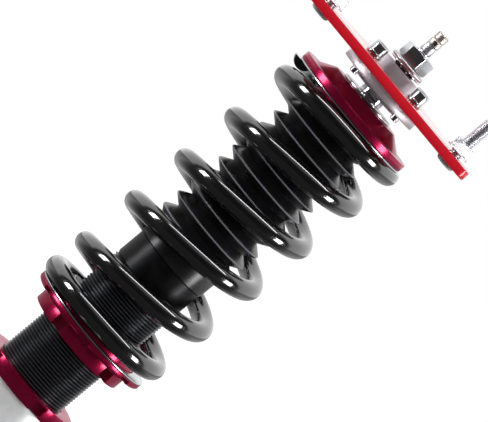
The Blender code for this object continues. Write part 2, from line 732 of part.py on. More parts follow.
def rod_end_stack():
    upper = [
        (rod_end_bore, upper_spacer_top),
        (TOP_WASHER_RADIUS, upper_spacer_top),
        (TOP_WASHER_RADIUS, upper_spacer_rim),
        (SPACER_NECK_RADIUS, upper_spacer_cone),
        (SPACER_NECK_RADIUS, upper_spacer_bottom),
        (rod_end_bore, upper_spacer_bottom),
    ]
    turned("upper_cone_spacer", rod_frame, polished_steel, upper, MEDIUM)

    washer_top = top_washer_bottom + TOP_WASHER_HEIGHT
    washer = ring_profile(rod_end_bore, TOP_WASHER_RADIUS, washer_top, top_washer_bottom, EDGE)
    turned("top_washer", rod_frame, bright_steel, washer, MEDIUM)

    flats = TOP_NUT_FLATS
    nut = hexagon("top_nut", rod_frame, bright_steel, flats, top_nut_bottom, TOP_NUT_HEIGHT, TOP_NUT_TURN)
    boolean(nut, chamfer_disc("top_nut_chamfer", flats, top_nut_bottom, TOP_NUT_HEIGHT), "INTERSECT")
    boolean(nut, drill("top_nut_bore", rod_end_bore, rod_top, top_nut_bottom - CUT_PAST))

    waist = lower_spacer_top - (LOWER_SPACER_RADIUS - SPACER_NECK_RADIUS) * 2
    lower = [
        (rod_end_bore, lower_spacer_top),
        (SPACER_NECK_RADIUS, lower_spacer_top),
        (LOWER_SPACER_RADIUS, waist),
        (LOWER_SPACER_RADIUS, lower_spacer_bottom),
        (rod_end_bore, lower_spacer_bottom),
    ]
    turned("lower_cone_spacer", rod_frame, polished_steel, lower, MEDIUM)

    perch_washer_bottom = perch_washer_top - PERCH_WASHER_HEIGHT
    washer = ring_profile(rod_end_bore, PERCH_WASHER_RADIUS, perch_washer_top, perch_washer_bottom, EDGE / 2)
    turned("perch_washer", rod_frame, bright_steel, washer, MEDIUM)

    washer = ring_profile(rod_end_bore, STEP_WASHER_RADIUS, step_washer_top, step_washer_bottom)
    turned("rod_step_washer", rod_frame, bright_steel, washer, SMALL)


def damping_adjuster():
    bush_bottom = rod_top + GAP
    bush_top = bush_bottom + ADJUSTER_BUSH_HEIGHT
    needle_bore = NEEDLE_RADIUS + GAP
    bush = [
        (needle_bore, bush_top),
        (ADJUSTER_BUSH_RADIUS, bush_top),
        (ADJUSTER_BUSH_RADIUS, bush_bottom),
        (ADJUSTER_SPIGOT_RADIUS, bush_bottom),
        (ADJUSTER_SPIGOT_RADIUS, bush_bottom - ADJUSTER_SPIGOT_LENGTH),
        (needle_bore, bush_bottom - ADJUSTER_SPIGOT_LENGTH),
    ]
    turned("adjuster_bush", rod_frame, bright_steel, bush, SMALL)

    neck_bottom = bush_top + GAP
    neck_top = neck_bottom + KNOB_NECK_HEIGHT
    knob_top = neck_top + KNOB_GRIP_HEIGHT
    needle_top = neck_top + KNOB_GRIP_HEIGHT / 2
    knob = [
        (0.0, knob_top),
        (KNOB_GRIP_RADIUS - EDGE, knob_top),
        (KNOB_GRIP_RADIUS, knob_top - EDGE),
        (KNOB_GRIP_RADIUS, neck_top + EDGE),
        (KNOB_NECK_RADIUS - EDGE / 2, neck_top + EDGE / 2),
        (KNOB_NECK_RADIUS, neck_top),
        (KNOB_NECK_RADIUS, neck_bottom),
        (needle_bore, neck_bottom),
        (needle_bore, needle_top + GAP),
        (0.0, needle_top + GAP),
    ]
    adjuster_knob = turned("adjuster_knob", adjuster_frame, brass, knob, SMALL)
    needle = disc_profile(NEEDLE_RADIUS, needle_top, needle_top - NEEDLE_LENGTH)
    turned("adjuster_needle", adjuster_frame, polished_steel, needle, 12)

    middle = (neck_bottom + neck_top) / 2
    inner = NEEDLE_RADIUS + GAP
    grub_length = KNOB_NECK_RADIUS - inner - GAP
    sideways = Matrix.Translation((0.0, 0.0, middle)) @ Matrix.Rotation(math.radians(90.0), 4, "X")
    hole = drill("grub_hole", GRUB_RADIUS + GAP, KNOB_NECK_RADIUS * 2, inner - GAP, 12)
    boolean(adjuster_knob, copies("grub_hole_across", None, bright_steel, hole, [sideways]))
    grub = drill("grub_pattern", GRUB_RADIUS, inner + grub_length, inner, 12)
    copies("knob_grub_screw", adjuster_frame, black_steel, grub, [sideways])


# Upper perch, spring and its washers

def upper_spring_perch():
    profile = [
        (rod_end_bore, perch_top),
        (PERCH_TOP_RADIUS, perch_top),
        (PERCH_SHOULDER_RADIUS, perch_shoulder),
        (perch_flange_radius - EDGE, perch_shoulder),
        (perch_flange_radius, perch_shoulder - EDGE),
        (perch_flange_radius, perch_flange_bottom + EDGE),
        (perch_flange_radius - EDGE, perch_flange_bottom),
        (PERCH_SPIGOT_RADIUS, perch_flange_bottom),
        (PERCH_SPIGOT_RADIUS, perch_spigot_bottom + EDGE),
        (PERCH_SPIGOT_RADIUS - EDGE, perch_spigot_bottom),
        (PERCH_RECESS_RADIUS, perch_spigot_bottom),
        (PERCH_RECESS_RADIUS, perch_roof_bottom),
        (rod_end_bore, perch_roof_bottom),
    ]
    turned("upper_spring_perch", rod_frame, magenta_anodised, profile, LARGE)


def spring_washers():
    slip = ring_profile(SPRING_WASHER_BORE, perch_flange_radius, slip_washer_top, spring_top)
    turned("perch_slip_washer", spring_frame, bright_steel, slip, LARGE)
    slip = ring_profile(SPRING_BORE_RADIUS, seat_rim_radius, spring_bottom, seat_washer_bottom)
    turned("seat_slip_washer", seat_frame, bright_steel, slip, LARGE)


def eased_turns(turn, start, length):
    """Turns of full pitch that a smooth change of pitch has given by this turn."""
    share = min(max((turn - start) / length, 0.0), 1.0)
    beyond = max(turn - start - length, 0.0)
    return length * (share ** 3 - share ** 4 / 2) + beyond


def spring_points():
    """Wire centres from the bottom tip up: a closed coil, the open coils, and a closed coil."""
    first_change, first_length = 0.73, 0.30
    last_change, last_length = SPRING_ACTIVE_TURNS - 1.00, 0.24
    low = spring_bottom + SPRING_FIRST_TIP_HEIGHT
    high = spring_top + SPRING_LAST_TIP_HEIGHT

    def full_turns(turn):
        return eased_turns(turn, first_change, first_length) - eased_turns(turn, last_change, last_length)

    rise = high - low - SPRING_END_PITCH * SPRING_ACTIVE_TURNS
    extra_pitch = rise / full_turns(SPRING_ACTIVE_TURNS)
    count = round(SPRING_ACTIVE_TURNS * POINTS_PER_TURN)
    points = []
    for k in range(count + 1):
        turn = SPRING_ACTIVE_TURNS * k / count
        angle = 2 * math.pi * (turn + SPRING_START_TURN)
        height = low + SPRING_END_PITCH * turn + extra_pitch * full_turns(turn)
        points.append((spring_mean_radius * math.cos(angle), spring_mean_radius * math.sin(angle), height))
    return points


def least_gap(points, wire_radius):
    """The narrowest space between one stretch of the wire and the turns more than half a turn away."""
    apart = POINTS_PER_TURN // 2
    narrowest = math.inf
    for i, here in enumerate(points):
        for there in points[i + apart:]:
            narrowest = min(narrowest, math.dist(here, there))
    return narrowest - 2 * wire_radius


def coil_spring():
    points = spring_points()
    print(f"coil_spring: least gap to itself {least_gap(points, SPRING_WIRE_RADIUS) * 1000:.2f} mm")
    curve = bpy.data.curves.new("spring_wire", "CURVE")
    curve.dimensions = "3D"
    curve.bevel_depth = SPRING_WIRE_RADIUS
    curve.bevel_resolution = 1
    curve.use_fill_caps = True
    spline = curve.splines.new("POLY")
    spline.points.add(len(points) - 1)
    for point, place in zip(spline.points, points):
        point.co = (*place, 1.0)
    wire = add_object("spring_wire", curve)
    spring = copies("coil_spring", seat_frame, black_spring, wire, [Matrix.Identity(4)])
    helpers.objects.unlink(wire)
    bpy.data.objects.remove(wire)
    reach = (spring_mean_radius + SPRING_WIRE_RADIUS) * 3
    for end, low in (("ground_bottom", spring_bottom + GAP - reach), ("ground_top", spring_top - GAP)):
        block = blocks(end, [(0.0, 0.0, low + reach / 2)], (reach, reach, reach), [0.0])
        boolean(spring, block)


# Damper

def piston_rod():
    bore = NEEDLE_RADIUS + GAP
    socket = ADJUSTER_SPIGOT_RADIUS + GAP
    socket_bottom = rod_top - ADJUSTER_SPIGOT_LENGTH - GAP
    knob_top = rod_top + ADJUSTER_BUSH_HEIGHT + KNOB_NECK_HEIGHT + KNOB_GRIP_HEIGHT
    bore_bottom = knob_top - NEEDLE_LENGTH - NEEDLE_ROOM
    profile = [
        (0.0, bore_bottom),
        (bore, bore_bottom),
        (bore, socket_bottom),
        (socket, socket_bottom),
        (socket, rod_top),
        (ROD_END_RADIUS - EDGE, rod_top),
        (ROD_END_RADIUS, rod_top - EDGE),
        (ROD_END_RADIUS, rod_shoulder),
        (ROD_RADIUS, rod_shoulder),
        (ROD_RADIUS, rod_bottom),
        (ROD_END_RADIUS, rod_bottom),
        (ROD_END_RADIUS, rod_tip),
        (0.0, rod_tip),
    ]
    turned("piston_rod", rod_frame, polished_steel, profile, MEDIUM)


def piston_pieces():
    top = rod_bottom - GAP
    shims = ring_profile(rod_end_bore, SHIM_RADIUS, top, top - SHIM_HEIGHT)
    turned("rebound_shims", rod_frame, bright_steel, shims, SMALL)
    piston_top = top - SHIM_HEIGHT - GAP
    piston_bottom = piston_top - PISTON_HEIGHT
    middle = (piston_top + piston_bottom) / 2
    piston_radius = body_bore_radius - PISTON_CLEARANCE
    groove = piston_radius - PISTON_BAND_WALL
    band_top = middle + PISTON_BAND_HEIGHT / 2
    band_bottom = middle - PISTON_BAND_HEIGHT / 2
    profile = [
        (rod_end_bore, piston_top),
        (piston_radius, piston_top),
        (piston_radius, band_top + GAP),
        (groove, band_top + GAP),
        (groove, band_bottom - GAP),
        (piston_radius, band_bottom - GAP),
        (piston_radius, piston_bottom),
        (rod_end_bore, piston_bottom),
    ]
    turned("damper_piston", rod_frame, machined_aluminium, profile, MEDIUM)
    band = ring_profile(groove + GAP, groove + GAP + PISTON_BAND_WALL, band_top, band_bottom)
    turned("piston_band", rod_frame, ptfe, band, MEDIUM)
    top = piston_bottom - GAP
    shims = ring_profile(rod_end_bore, SHIM_RADIUS, top, top - SHIM_HEIGHT)
    turned("compression_shims", rod_frame, bright_steel, shims, SMALL)
    nut_top = top - SHIM_HEIGHT - GAP
    nut_bottom = nut_top - PISTON_NUT_HEIGHT
    nut = hexagon("piston_nut", rod_frame, bright_steel, PISTON_NUT_FLATS, nut_bottom, PISTON_NUT_HEIGHT)
    boolean(nut, drill("piston_nut_bore", rod_end_bore, nut_top + CUT_PAST, nut_bottom - CUT_PAST))


def thread_points(top, bottom):
    """The body's thread as whole V grooves between two heights, from the top down."""
    points = []
    for k in range(int((top - bottom) / THREAD_PITCH)):
        crest = top - THREAD_PITCH * k
        points.append((BODY_RADIUS, crest))
        points.append((BODY_RADIUS - THREAD_DEPTH, crest - THREAD_PITCH / 2))
    points.append((BODY_RADIUS, points[-1][1] - THREAD_PITCH / 2))
    return points


def damper_body():
    """The tube, with its thread cut where it lies bare and left at its full radius under the fittings."""
    thread_top = body_top - BARE_BODY_LENGTH
    profile = [
        (body_bore_radius, body_top),
        (BODY_RADIUS - EDGE, body_top),
        (BODY_RADIUS, body_top - EDGE),
    ]
    profile += thread_points(thread_top, seat_top + SEAT_SPIGOT_HEIGHT)
    profile += thread_points(collar_bottom, ring_top)
    profile += [(BODY_RADIUS, body_bottom), (body_bore_radius, body_bottom)]
    turned("damper_body", strut_frame, black_body, profile, MEDIUM)


def rod_guide():
    seal_bottom = guide_top - WIPER_HEIGHT - SEAL_HEIGHT - GAP * 3
    seal_bore = SEAL_RADIUS + GAP
    bush_bore = rod_clearance + GUIDE_BUSH_WALL + GAP
    ring_groove_top = body_top - GUIDE_DEPTH / 2
    ring_groove_bottom = ring_groove_top - BODY_RING_RADIUS * 4
    groove = body_fit - BODY_RING_RADIUS * 2
    profile = [
        (seal_bore, guide_top),
        (GUIDE_NOSE_RADIUS, guide_top),
        (GUIDE_NOSE_RADIUS, guide_shoulder),
        (GUIDE_HEAD_RADIUS, guide_shoulder),
        (GUIDE_HEAD_RADIUS, guide_seat),
        (body_fit, guide_seat),
        (body_fit, ring_groove_top),
        (groove, ring_groove_top),
        (groove, ring_groove_bottom),
        (body_fit, ring_groove_bottom),
        (body_fit, guide_bottom),
        (bush_bore, guide_bottom),
        (bush_bore, seal_bottom),
        (seal_bore, seal_bottom),
    ]
    turned("rod_guide", strut_frame, machined_aluminium, profile, MEDIUM)

    wiper_bottom = guide_top - WIPER_HEIGHT
    wiper = ring_profile(rod_clearance, SEAL_RADIUS, guide_top, wiper_bottom)
    turned("rod_wiper", strut_frame, black_rubber, wiper, SMALL)
    seal_top = wiper_bottom - GAP
    seal = ring_profile(rod_clearance, SEAL_RADIUS, seal_top, seal_top - SEAL_HEIGHT)
    turned("rod_seal", strut_frame, black_rubber, seal, SMALL)
    bush_bottom = guide_bottom + GAP
    bush_top = bush_bottom + GUIDE_BUSH_LENGTH
    bush = ring_profile(rod_clearance, rod_clearance + GUIDE_BUSH_WALL, bush_top, bush_bottom)
    turned("guide_bush", strut_frame, bronze, bush, SMALL)
    sealing_ring("guide_o_ring", strut_frame, groove, (ring_groove_top + ring_groove_bottom) / 2)


def sealing_ring(name, frame, groove_radius, height):
    """A round-section ring that sits in its groove and stops just short of the bore."""
    section = BODY_RING_RADIUS
    centre = groove_radius + section + GAP / 2
    corners = [math.radians(60.0 * k) for k in range(6)]
    profile = [(centre - section * math.cos(a), height + section * math.sin(a)) for a in corners]
    turned(name, frame, black_rubber, profile, MEDIUM)


def gas_piston():
    bottom = gas_piston_top - GAS_PISTON_HEIGHT
    middle = (gas_piston_top + bottom) / 2
    groove = body_fit - BODY_RING_RADIUS * 2
    half_groove = BODY_RING_RADIUS * 2
    cup = body_fit - GAS_PISTON_WALL
    profile = [
        (0.0, gas_piston_top),
        (body_fit, gas_piston_top),
        (body_fit, middle + half_groove),
        (groove, middle + half_groove),
        (groove, middle - half_groove),
        (body_fit, middle - half_groove),
        (body_fit, bottom),
        (cup, bottom),
        (cup, gas_piston_top - GAS_PISTON_WALL),
        (0.0, gas_piston_top - GAS_PISTON_WALL),
    ]
    turned("gas_piston", gas_piston_frame, machined_aluminium, profile, MEDIUM)
    sealing_ring("gas_piston_o_ring", gas_piston_frame, groove, middle)


def base_cap():
    screw_bore = FILL_SCREW_RADIUS + GAP
    screw_top = cap_bottom + FILL_SCREW_LENGTH
    profile = [
        (0.0, cap_top),
        (body_fit, cap_top),
        (body_fit, cap_seat),
        (BODY_RADIUS - GAP, cap_seat),
        (BODY_RADIUS - GAP, cap_bottom),
        (screw_bore, cap_bottom),
        (screw_bore, screw_top + GAP),
        (0.0, screw_top + GAP),
    ]
    turned("base_cap", strut_frame, black_steel, profile, MEDIUM)
    profile = disc_profile(FILL_SCREW_RADIUS, screw_top, cap_bottom)
    screw = turned("gas_fill_screw", strut_frame, bright_steel, profile, SMALL)
    key_depth = FILL_SCREW_LENGTH / 2
    key_bottom = cap_bottom - key_depth
    key = hexagon("fill_screw_key", None, bright_steel, FILL_SCREW_RADIUS, key_bottom, key_depth * 2)
    boolean(screw, key)


# Bump stop and dust boot

def bump_stop():
    top = rod_shoulder - ROD_SHOULDER_DEPTH
    bottom = top - BUMP_STOP_LENGTH
    bead = BUMP_STOP_LENGTH / 4
    profile = [
        (rod_clearance, top),
        (BUMP_STOP_RADIUS, top),
        (BUMP_STOP_RADIUS, top - bead),
        (BUMP_STOP_WAIST, top - bead * 1.25),
        (BUMP_STOP_MIDDLE, top - bead * 1.75),
        (BUMP_STOP_MIDDLE, top - bead * 2.25),
        (BUMP_STOP_WAIST, top - bead * 2.6),
        (BUMP_STOP_MIDDLE, top - bead * 3.0),
        (BUMP_STOP_TIP, bottom),
        (rod_clearance, bottom),
    ]
    turned("bump_stop", rod_frame, foam, profile, SMALL)


def dust_boot():
    cuff_bottom = guide_seat
    cuff_top = cuff_bottom + BOOT_CUFF_HEIGHT
    cuff_bore = GUIDE_HEAD_RADIUS + GAP
    bellows_top = perch_spigot_bottom - GAP
    rib_pitch = (bellows_top - cuff_top) / BOOT_RIBS
    top_cuff_radius = PERCH_RECESS_RADIUS - GAP
    top_cuff_top = bellows_top + BOOT_TOP_CUFF_HEIGHT
    outer = [(top_cuff_radius, top_cuff_top), (top_cuff_radius, bellows_top)]
    for k in reversed(range(BOOT_RIBS)):
        peak = cuff_top + rib_pitch * (k + 0.5)
        outer.append((BOOT_PEAK_RADIUS, peak))
        if k:
            outer.append((BOOT_VALLEY_RADIUS, peak - rib_pitch / 2))
    outer += [(BOOT_CUFF_RADIUS, cuff_top), (BOOT_CUFF_RADIUS, cuff_bottom)]
    bore = min(BOOT_VALLEY_RADIUS, top_cuff_radius) - BOOT_WALL
    inner = [(cuff_bore, cuff_bottom), (cuff_bore, cuff_top), (bore, cuff_top), (bore, top_cuff_top)]
    turned("dust_boot", strut_frame, black_rubber, outer + inner, MEDIUM)


# Spring seat, lock collar and lock ring

def notch_blocks(name, count, width, radius, depth, low, high, first):
    """A helper that cuts notches of this depth into a rim, from one height to another."""
    reach = depth * 2
    centres = [(0.0, -(radius - depth + reach / 2), (low + high) / 2)] * count
    turns = [first + 2 * math.pi * k / count for k in range(count)]
    return blocks(name, centres, (width, reach, high - low), turns)


def spring_seat():
    spigot = SPRING_BORE_RADIUS - SEAT_SPIGOT_CLEARANCE
    spigot_top = seat_top + SEAT_SPIGOT_HEIGHT
    profile = [
        (body_clearance, spigot_top),
        (spigot - EDGE, spigot_top),
        (spigot, spigot_top - EDGE),
        (spigot, seat_top),
        (seat_rim_radius - EDGE, seat_top),
        (seat_rim_radius, seat_top - EDGE),
        (seat_rim_radius, seat_bottom + EDGE),
        (seat_rim_radius - EDGE, seat_bottom),
        (body_clearance, seat_bottom),
    ]
    seat = turned("spring_seat", seat_frame, magenta_anodised, profile, LARGE)
    notches = notch_blocks(
        "seat_notches",
        SEAT_NOTCHES,
        SEAT_NOTCH_WIDTH,
        seat_rim_radius,
        SEAT_NOTCH_DEPTH,
        seat_bottom - SEAT_NOTCH_DEPTH,
        seat_top - SEAT_RIM_LIP,
        SEAT_NOTCH_TURN,
    )
    boolean(seat, notches)


def lock_collar(name, frame, top, first_notch):
    """A castellated ring: a thin flange on top, and spanner notches cut up into the lugs below it."""
    bottom = top - COLLAR_HEIGHT
    lug_top = top - COLLAR_FLANGE_HEIGHT
    profile = [
        (body_clearance, top),
        (COLLAR_RADIUS - EDGE, top),
        (COLLAR_RADIUS, top - EDGE),
        (COLLAR_RADIUS, bottom + EDGE),
        (COLLAR_RADIUS - EDGE, bottom),
        (body_clearance, bottom),
    ]
    collar = turned(name, frame, magenta_anodised, profile, LARGE)
    notches = notch_blocks(
        name + "_notches",
        COLLAR_NOTCHES,
        COLLAR_NOTCH_WIDTH,
        COLLAR_RADIUS,
        COLLAR_NOTCH_DEPTH,
        bottom - COLLAR_NOTCH_DEPTH,
        lug_top,
        first_notch,
    )
    boolean(collar, notches)


# Knuckle bracket

def upright(name, outlines, x):
    """A helper plate from outlines of (Y, Z) points, stood up so that its thickness runs along X."""
    flat = add_object(name + "_flat", flat_curve(name, outlines, EAR_THICKNESS))
    across_x = Matrix(((0.0, 0.0, 1.0, x), (1.0, 0.0, 0.0, 0.0), (0.0, 1.0, 0.0, 0.0), (0.0, 0.0, 0.0, 1.0)))
    made = copies(name, None, bright_steel, flat, [across_x])
    bpy.data.objects.remove(flat)
    return made


def knuckle_bracket():
    ear_top = cup_top - EAR_TOP_DEPTH
    ear_bottom = ear_top - EAR_HEIGHT
    web_y = -(cup_radius - GAP * 5)
    ear_back = web_y + EAR_WEB_THICKNESS
    ear_front = -(cup_radius + EAR_REACH)
    inside = -cup_radius / 3
    foot = cup_bottom + EAR_THICKNESS
    cup_profile = [(0.0, cup_top), (cup_radius, cup_top), (cup_radius, cup_bottom), (0.0, cup_bottom)]
    bracket = turned("knuckle_bracket", bracket_frame, bright_steel, cup_profile, LARGE)

    corners = [(inside, ear_top), (ear_front, ear_top), (ear_front, ear_bottom), (ear_back, ear_bottom)]
    outline = rounded_corners(corners, EAR_CORNER_RADIUS)
    arc = len(outline) // 4
    outline = [Vector((inside, ear_top))] + outline[arc:] + [Vector((inside, foot))]
    bolt_y = -(cup_radius + BOLT_REACH)
    first_bolt = ear_top - (EAR_HEIGHT - BOLT_SPACING) / 2
    holes = [circle_outline(bolt_y, z, BOLT_RADIUS, SMALL) for z in (first_bolt, first_bolt - BOLT_SPACING)]
    for side, x in (("left", -1), ("right", 1)):
        ear = upright("ear_" + side, [outline] + holes, x * (EAR_SPACING + EAR_THICKNESS) / 2)
        boolean(bracket, ear, "UNION")
    web_size = (EAR_SPACING + EAR_THICKNESS, EAR_WEB_THICKNESS, EAR_HEIGHT - EAR_CORNER_RADIUS * 2)
    web = blocks("ear_web", [(0.0, web_y, (ear_top + ear_bottom) / 2)], web_size, [0.0])
    boolean(bracket, web, "UNION")
    boolean(bracket, drill("cup_bore", body_clearance, cup_top + CUT_PAST, ear_bottom - CUT_PAST, LARGE))


camber_plate()
tower_studs()
tower_nuts()
bearing_housing()
housing_screws()
spherical_bearing()
rod_end_stack()
damping_adjuster()
upper_spring_perch()
spring_washers()
coil_spring()
piston_rod()
piston_pieces()
damper_body()
rod_guide()
gas_piston()
base_cap()
bump_stop()
dust_boot()
spring_seat()
lock_collar("lock_collar", collar_frame, collar_top, COLLAR_NOTCH_TURN)
lock_collar("lower_lock_ring", ring_frame, ring_top, RING_NOTCH_TURN)
knuckle_bracket()
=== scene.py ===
"""Looks of an adjustable suspension strut: each visible piece as it is made, its finish, and a plain studio.

Metres, in the frame's own axes: +Z up along the strut, -Y towards the camera, X across it.
"""

import json
import math

import bpy
from mathutils import Matrix, Vector


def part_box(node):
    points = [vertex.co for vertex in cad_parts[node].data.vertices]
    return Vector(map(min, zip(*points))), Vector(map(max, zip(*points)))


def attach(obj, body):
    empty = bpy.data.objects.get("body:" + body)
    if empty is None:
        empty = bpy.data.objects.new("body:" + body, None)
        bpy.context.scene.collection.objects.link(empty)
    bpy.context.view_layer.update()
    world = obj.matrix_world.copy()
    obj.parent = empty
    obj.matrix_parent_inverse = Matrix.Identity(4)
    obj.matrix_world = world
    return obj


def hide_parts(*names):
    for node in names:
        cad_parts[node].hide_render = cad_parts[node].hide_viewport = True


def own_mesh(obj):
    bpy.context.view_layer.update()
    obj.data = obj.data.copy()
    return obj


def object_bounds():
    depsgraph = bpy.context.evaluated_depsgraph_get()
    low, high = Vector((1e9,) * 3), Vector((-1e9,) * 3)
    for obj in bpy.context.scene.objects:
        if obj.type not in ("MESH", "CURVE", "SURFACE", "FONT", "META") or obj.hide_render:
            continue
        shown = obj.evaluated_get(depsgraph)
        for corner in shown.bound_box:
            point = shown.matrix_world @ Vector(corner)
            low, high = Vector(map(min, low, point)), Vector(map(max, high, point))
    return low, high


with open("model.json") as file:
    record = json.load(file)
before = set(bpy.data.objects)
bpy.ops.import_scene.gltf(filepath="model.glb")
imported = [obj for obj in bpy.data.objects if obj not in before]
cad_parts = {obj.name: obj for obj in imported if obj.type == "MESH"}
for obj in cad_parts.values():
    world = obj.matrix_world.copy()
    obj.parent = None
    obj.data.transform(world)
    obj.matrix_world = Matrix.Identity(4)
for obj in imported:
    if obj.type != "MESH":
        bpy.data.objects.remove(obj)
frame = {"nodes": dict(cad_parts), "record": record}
cad_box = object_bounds()
bpy.ops.object.select_all(action="DESELECT")

record = frame["record"]
body_of = {node: body for body, nodes in record["behaviour"]["bodies"].items() for node in nodes}
slot_of = {part["node"]: part["material_slot"] for part in record["subparts"]}
MM = 0.001


# ----------------------------------------------------------------------
# Finishes
# ----------------------------------------------------------------------

def colour(hex_value):
    """Linear RGBA of an sRGB colour such as 'C8102E'."""
    channels = [int(hex_value[i:i + 2], 16) / 255 for i in (0, 2, 4)]
    return [c / 12.92 if c <= 0.04045 else ((c + 0.055) / 1.055) ** 2.4 for c in channels] + [1.0]


def grey(value):
    return (value, value, value, 1.0)


def add_node(tree, kind, inputs=None, **settings):
    """One node with its settings, and each input set to a value or linked from another node's output."""
    node = tree.nodes.new(kind)
    for key, value in settings.items():
        setattr(node, key, value)
    for socket, value in (inputs or {}).items():
        if isinstance(value, bpy.types.NodeSocket):
            tree.links.new(value, node.inputs[socket])
        else:
            node.inputs[socket].default_value = value
    return node


def new_finish(name, **sockets):
    """A material with these sockets set: it, its tree, its shader, and the place of a point in the frame."""
    made = bpy.data.materials.new(name)
    made.use_nodes = True
    tree = made.node_tree
    shader = tree.nodes["Principled BSDF"]
    for key, value in sockets.items():
        shader.inputs[key.replace("_", " ")].default_value = value
    place = add_node(tree, "ShaderNodeTexCoord").outputs["Object"]
    return made, tree, shader, place


def shade_by_pattern(tree, shader, pattern, tones, reach=(0.0, 1.0), roughness=None):
    """Take the base colour from one tone to the other as a pattern goes through its reach.

    Where two levels of roughness are given, the pattern's whole range takes it from one to the other.
    """
    start, end = reach
    share = add_node(tree, "ShaderNodeMapRange", {"Value": pattern, "From Min": start, "From Max": end})
    tone = add_node(
        tree,
        "ShaderNodeMix",
        {"Factor": share.outputs["Result"], 6: colour(tones[0]), 7: colour(tones[1])},
        data_type="RGBA",
    )
    tree.links.new(tone.outputs[2], shader.inputs["Base Color"])
    if roughness:
        dullness = add_node(
            tree,
            "ShaderNodeMapRange",
            {"Value": pattern, "To Min": roughness[0], "To Max": roughness[1]},
        )
        tree.links.new(dullness.outputs["Result"], shader.inputs["Roughness"])
    return tone.outputs[2]


def paint_crest_highlights(tree, shader, place, tone, crest_highlight_tone, root, crest):
    """Take the base colour from its tone to a paler one between these radii about the strut's axis: a painted
    highlight along the crests.
    """
    across = add_node(tree, "ShaderNodeMapping", {"Vector": place, "Scale": (1.0, 1.0, 0.0)})
    radius = add_node(tree, "ShaderNodeVectorMath", {0: across.outputs["Vector"]}, operation="LENGTH")
    share = add_node(
        tree,
        "ShaderNodeMapRange",
        {"Value": radius.outputs["Value"], "From Min": root, "From Max": crest},
        interpolation_type="SMOOTHSTEP",
    )
    mixed = add_node(
        tree,
        "ShaderNodeMix",
        {"Factor": share.outputs["Result"], 6: tone, 7: colour(crest_highlight_tone)},
        data_type="RGBA",
    )
    tree.links.new(mixed.outputs[2], shader.inputs["Base Color"])


def span(node):
    """The lowest and highest point of a node, and its largest radius across X."""
    low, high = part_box(node)
    return low.z, high.z, (high.x - low.x) / 2


def anodised_aluminium(name, hex_value, pale, roughness, **sockets):
    """Turned aluminium, bead-dulled and dyed: a clear deep tone, a little paler where the dye took less."""
    made, tree, shader, place = new_finish(name, **sockets)
    dye = add_node(tree, "ShaderNodeTexNoise", {"Vector": place, "Scale": 260.0, "Detail": 4.0})
    levels = (roughness * 0.92, roughness * 1.08)
    shade_by_pattern(tree, shader, dye.outputs["Fac"], (hex_value, pale), roughness=levels)
    beading = add_node(tree, "ShaderNodeTexNoise", {"Vector": place, "Scale": 2600.0, "Detail": 2.0})
    bump = add_node(tree, "ShaderNodeBump", {"Height": beading.outputs["Fac"], "Distance": 0.004 * MM})
    tree.links.new(bump.outputs["Normal"], shader.inputs["Normal"])
    return made


def bright_metal(name, hex_value, roughness, smear):
    """Plated or polished metal: near mirror, with broad faint smears where it has been handled."""
    made, tree, shader, place = new_finish(name, Metallic=1.0)
    cloud = add_node(tree, "ShaderNodeTexNoise", {"Vector": place, "Scale": 90.0, "Detail": 5.0})
    levels = (roughness, roughness + smear)
    shade_by_pattern(tree, shader, cloud.outputs["Fac"], (hex_value, "F2F3F5"), roughness=levels)
    return made


def turned_metal(name, hex_value, roughness, metallic=1.0):
    """Metal as the lathe leaves it: fine rings round the axis, which draw each reflection out along it."""
    made, tree, shader, place = new_finish(name, Metallic=metallic, Roughness=roughness, Anisotropic=0.75)
    squeezed = add_node(tree, "ShaderNodeMapping", {"Vector": place, "Scale": (0.05, 0.05, 1.0)})
    rings = add_node(
        tree, "ShaderNodeTexNoise", {"Vector": squeezed.outputs["Vector"], "Scale": 1600.0, "Detail": 3.0}
    )
    shade_by_pattern(tree, shader, rings.outputs["Fac"], (hex_value, "E4E2E6"))
    around = add_node(tree, "ShaderNodeTangent", direction_type="RADIAL", axis="Z")
    tree.links.new(around.outputs["Tangent"], shader.inputs["Tangent"])
    return made


def gloss_powder_coat():
    """Spring steel under gloss black powder coat: a thick clear skin with a faint orange peel."""
    made, tree, shader, place = new_finish(
        "gloss_black_powder_coat",
        Roughness=0.26,
        Specular_IOR_Level=0.15,
        Coat_Weight=1.0,
        Coat_Roughness=0.09,
        Coat_IOR=2.1,
    )
    peel = add_node(tree, "ShaderNodeTexNoise", {"Vector": place, "Scale": 420.0, "Detail": 2.0})
    shade_by_pattern(tree, shader, peel.outputs["Fac"], ("030304", "08080B"))
    bump = add_node(tree, "ShaderNodeBump", {"Height": peel.outputs["Fac"], "Distance": 0.010 * MM})
    tree.links.new(bump.outputs["Normal"], shader.inputs["Normal"])
    return made


def black_thread_coat():
    """Rolled thread under a thin black coating, its crests painted paler grey as a highlight along each
    crest.
    """
    made, tree, shader, place = new_finish("black_thread_coating", Metallic=0.60, Specular_IOR_Level=0.6)
    wear = add_node(tree, "ShaderNodeTexNoise", {"Vector": place, "Scale": 150.0, "Detail": 6.0})
    tones = ("0C0C0E", "1E1E21")
    tone = shade_by_pattern(tree, shader, wear.outputs["Fac"], tones, (0.35, 0.75), (0.22, 0.42))
    crest = span("damper_body")[2]
    # The paler crest tone is a painted highlight: a light line along each thread crest.
    paint_crest_highlights(tree, shader, place, tone, "5C5C64", crest - 0.30 * MM, crest - 0.05 * MM)
    return made


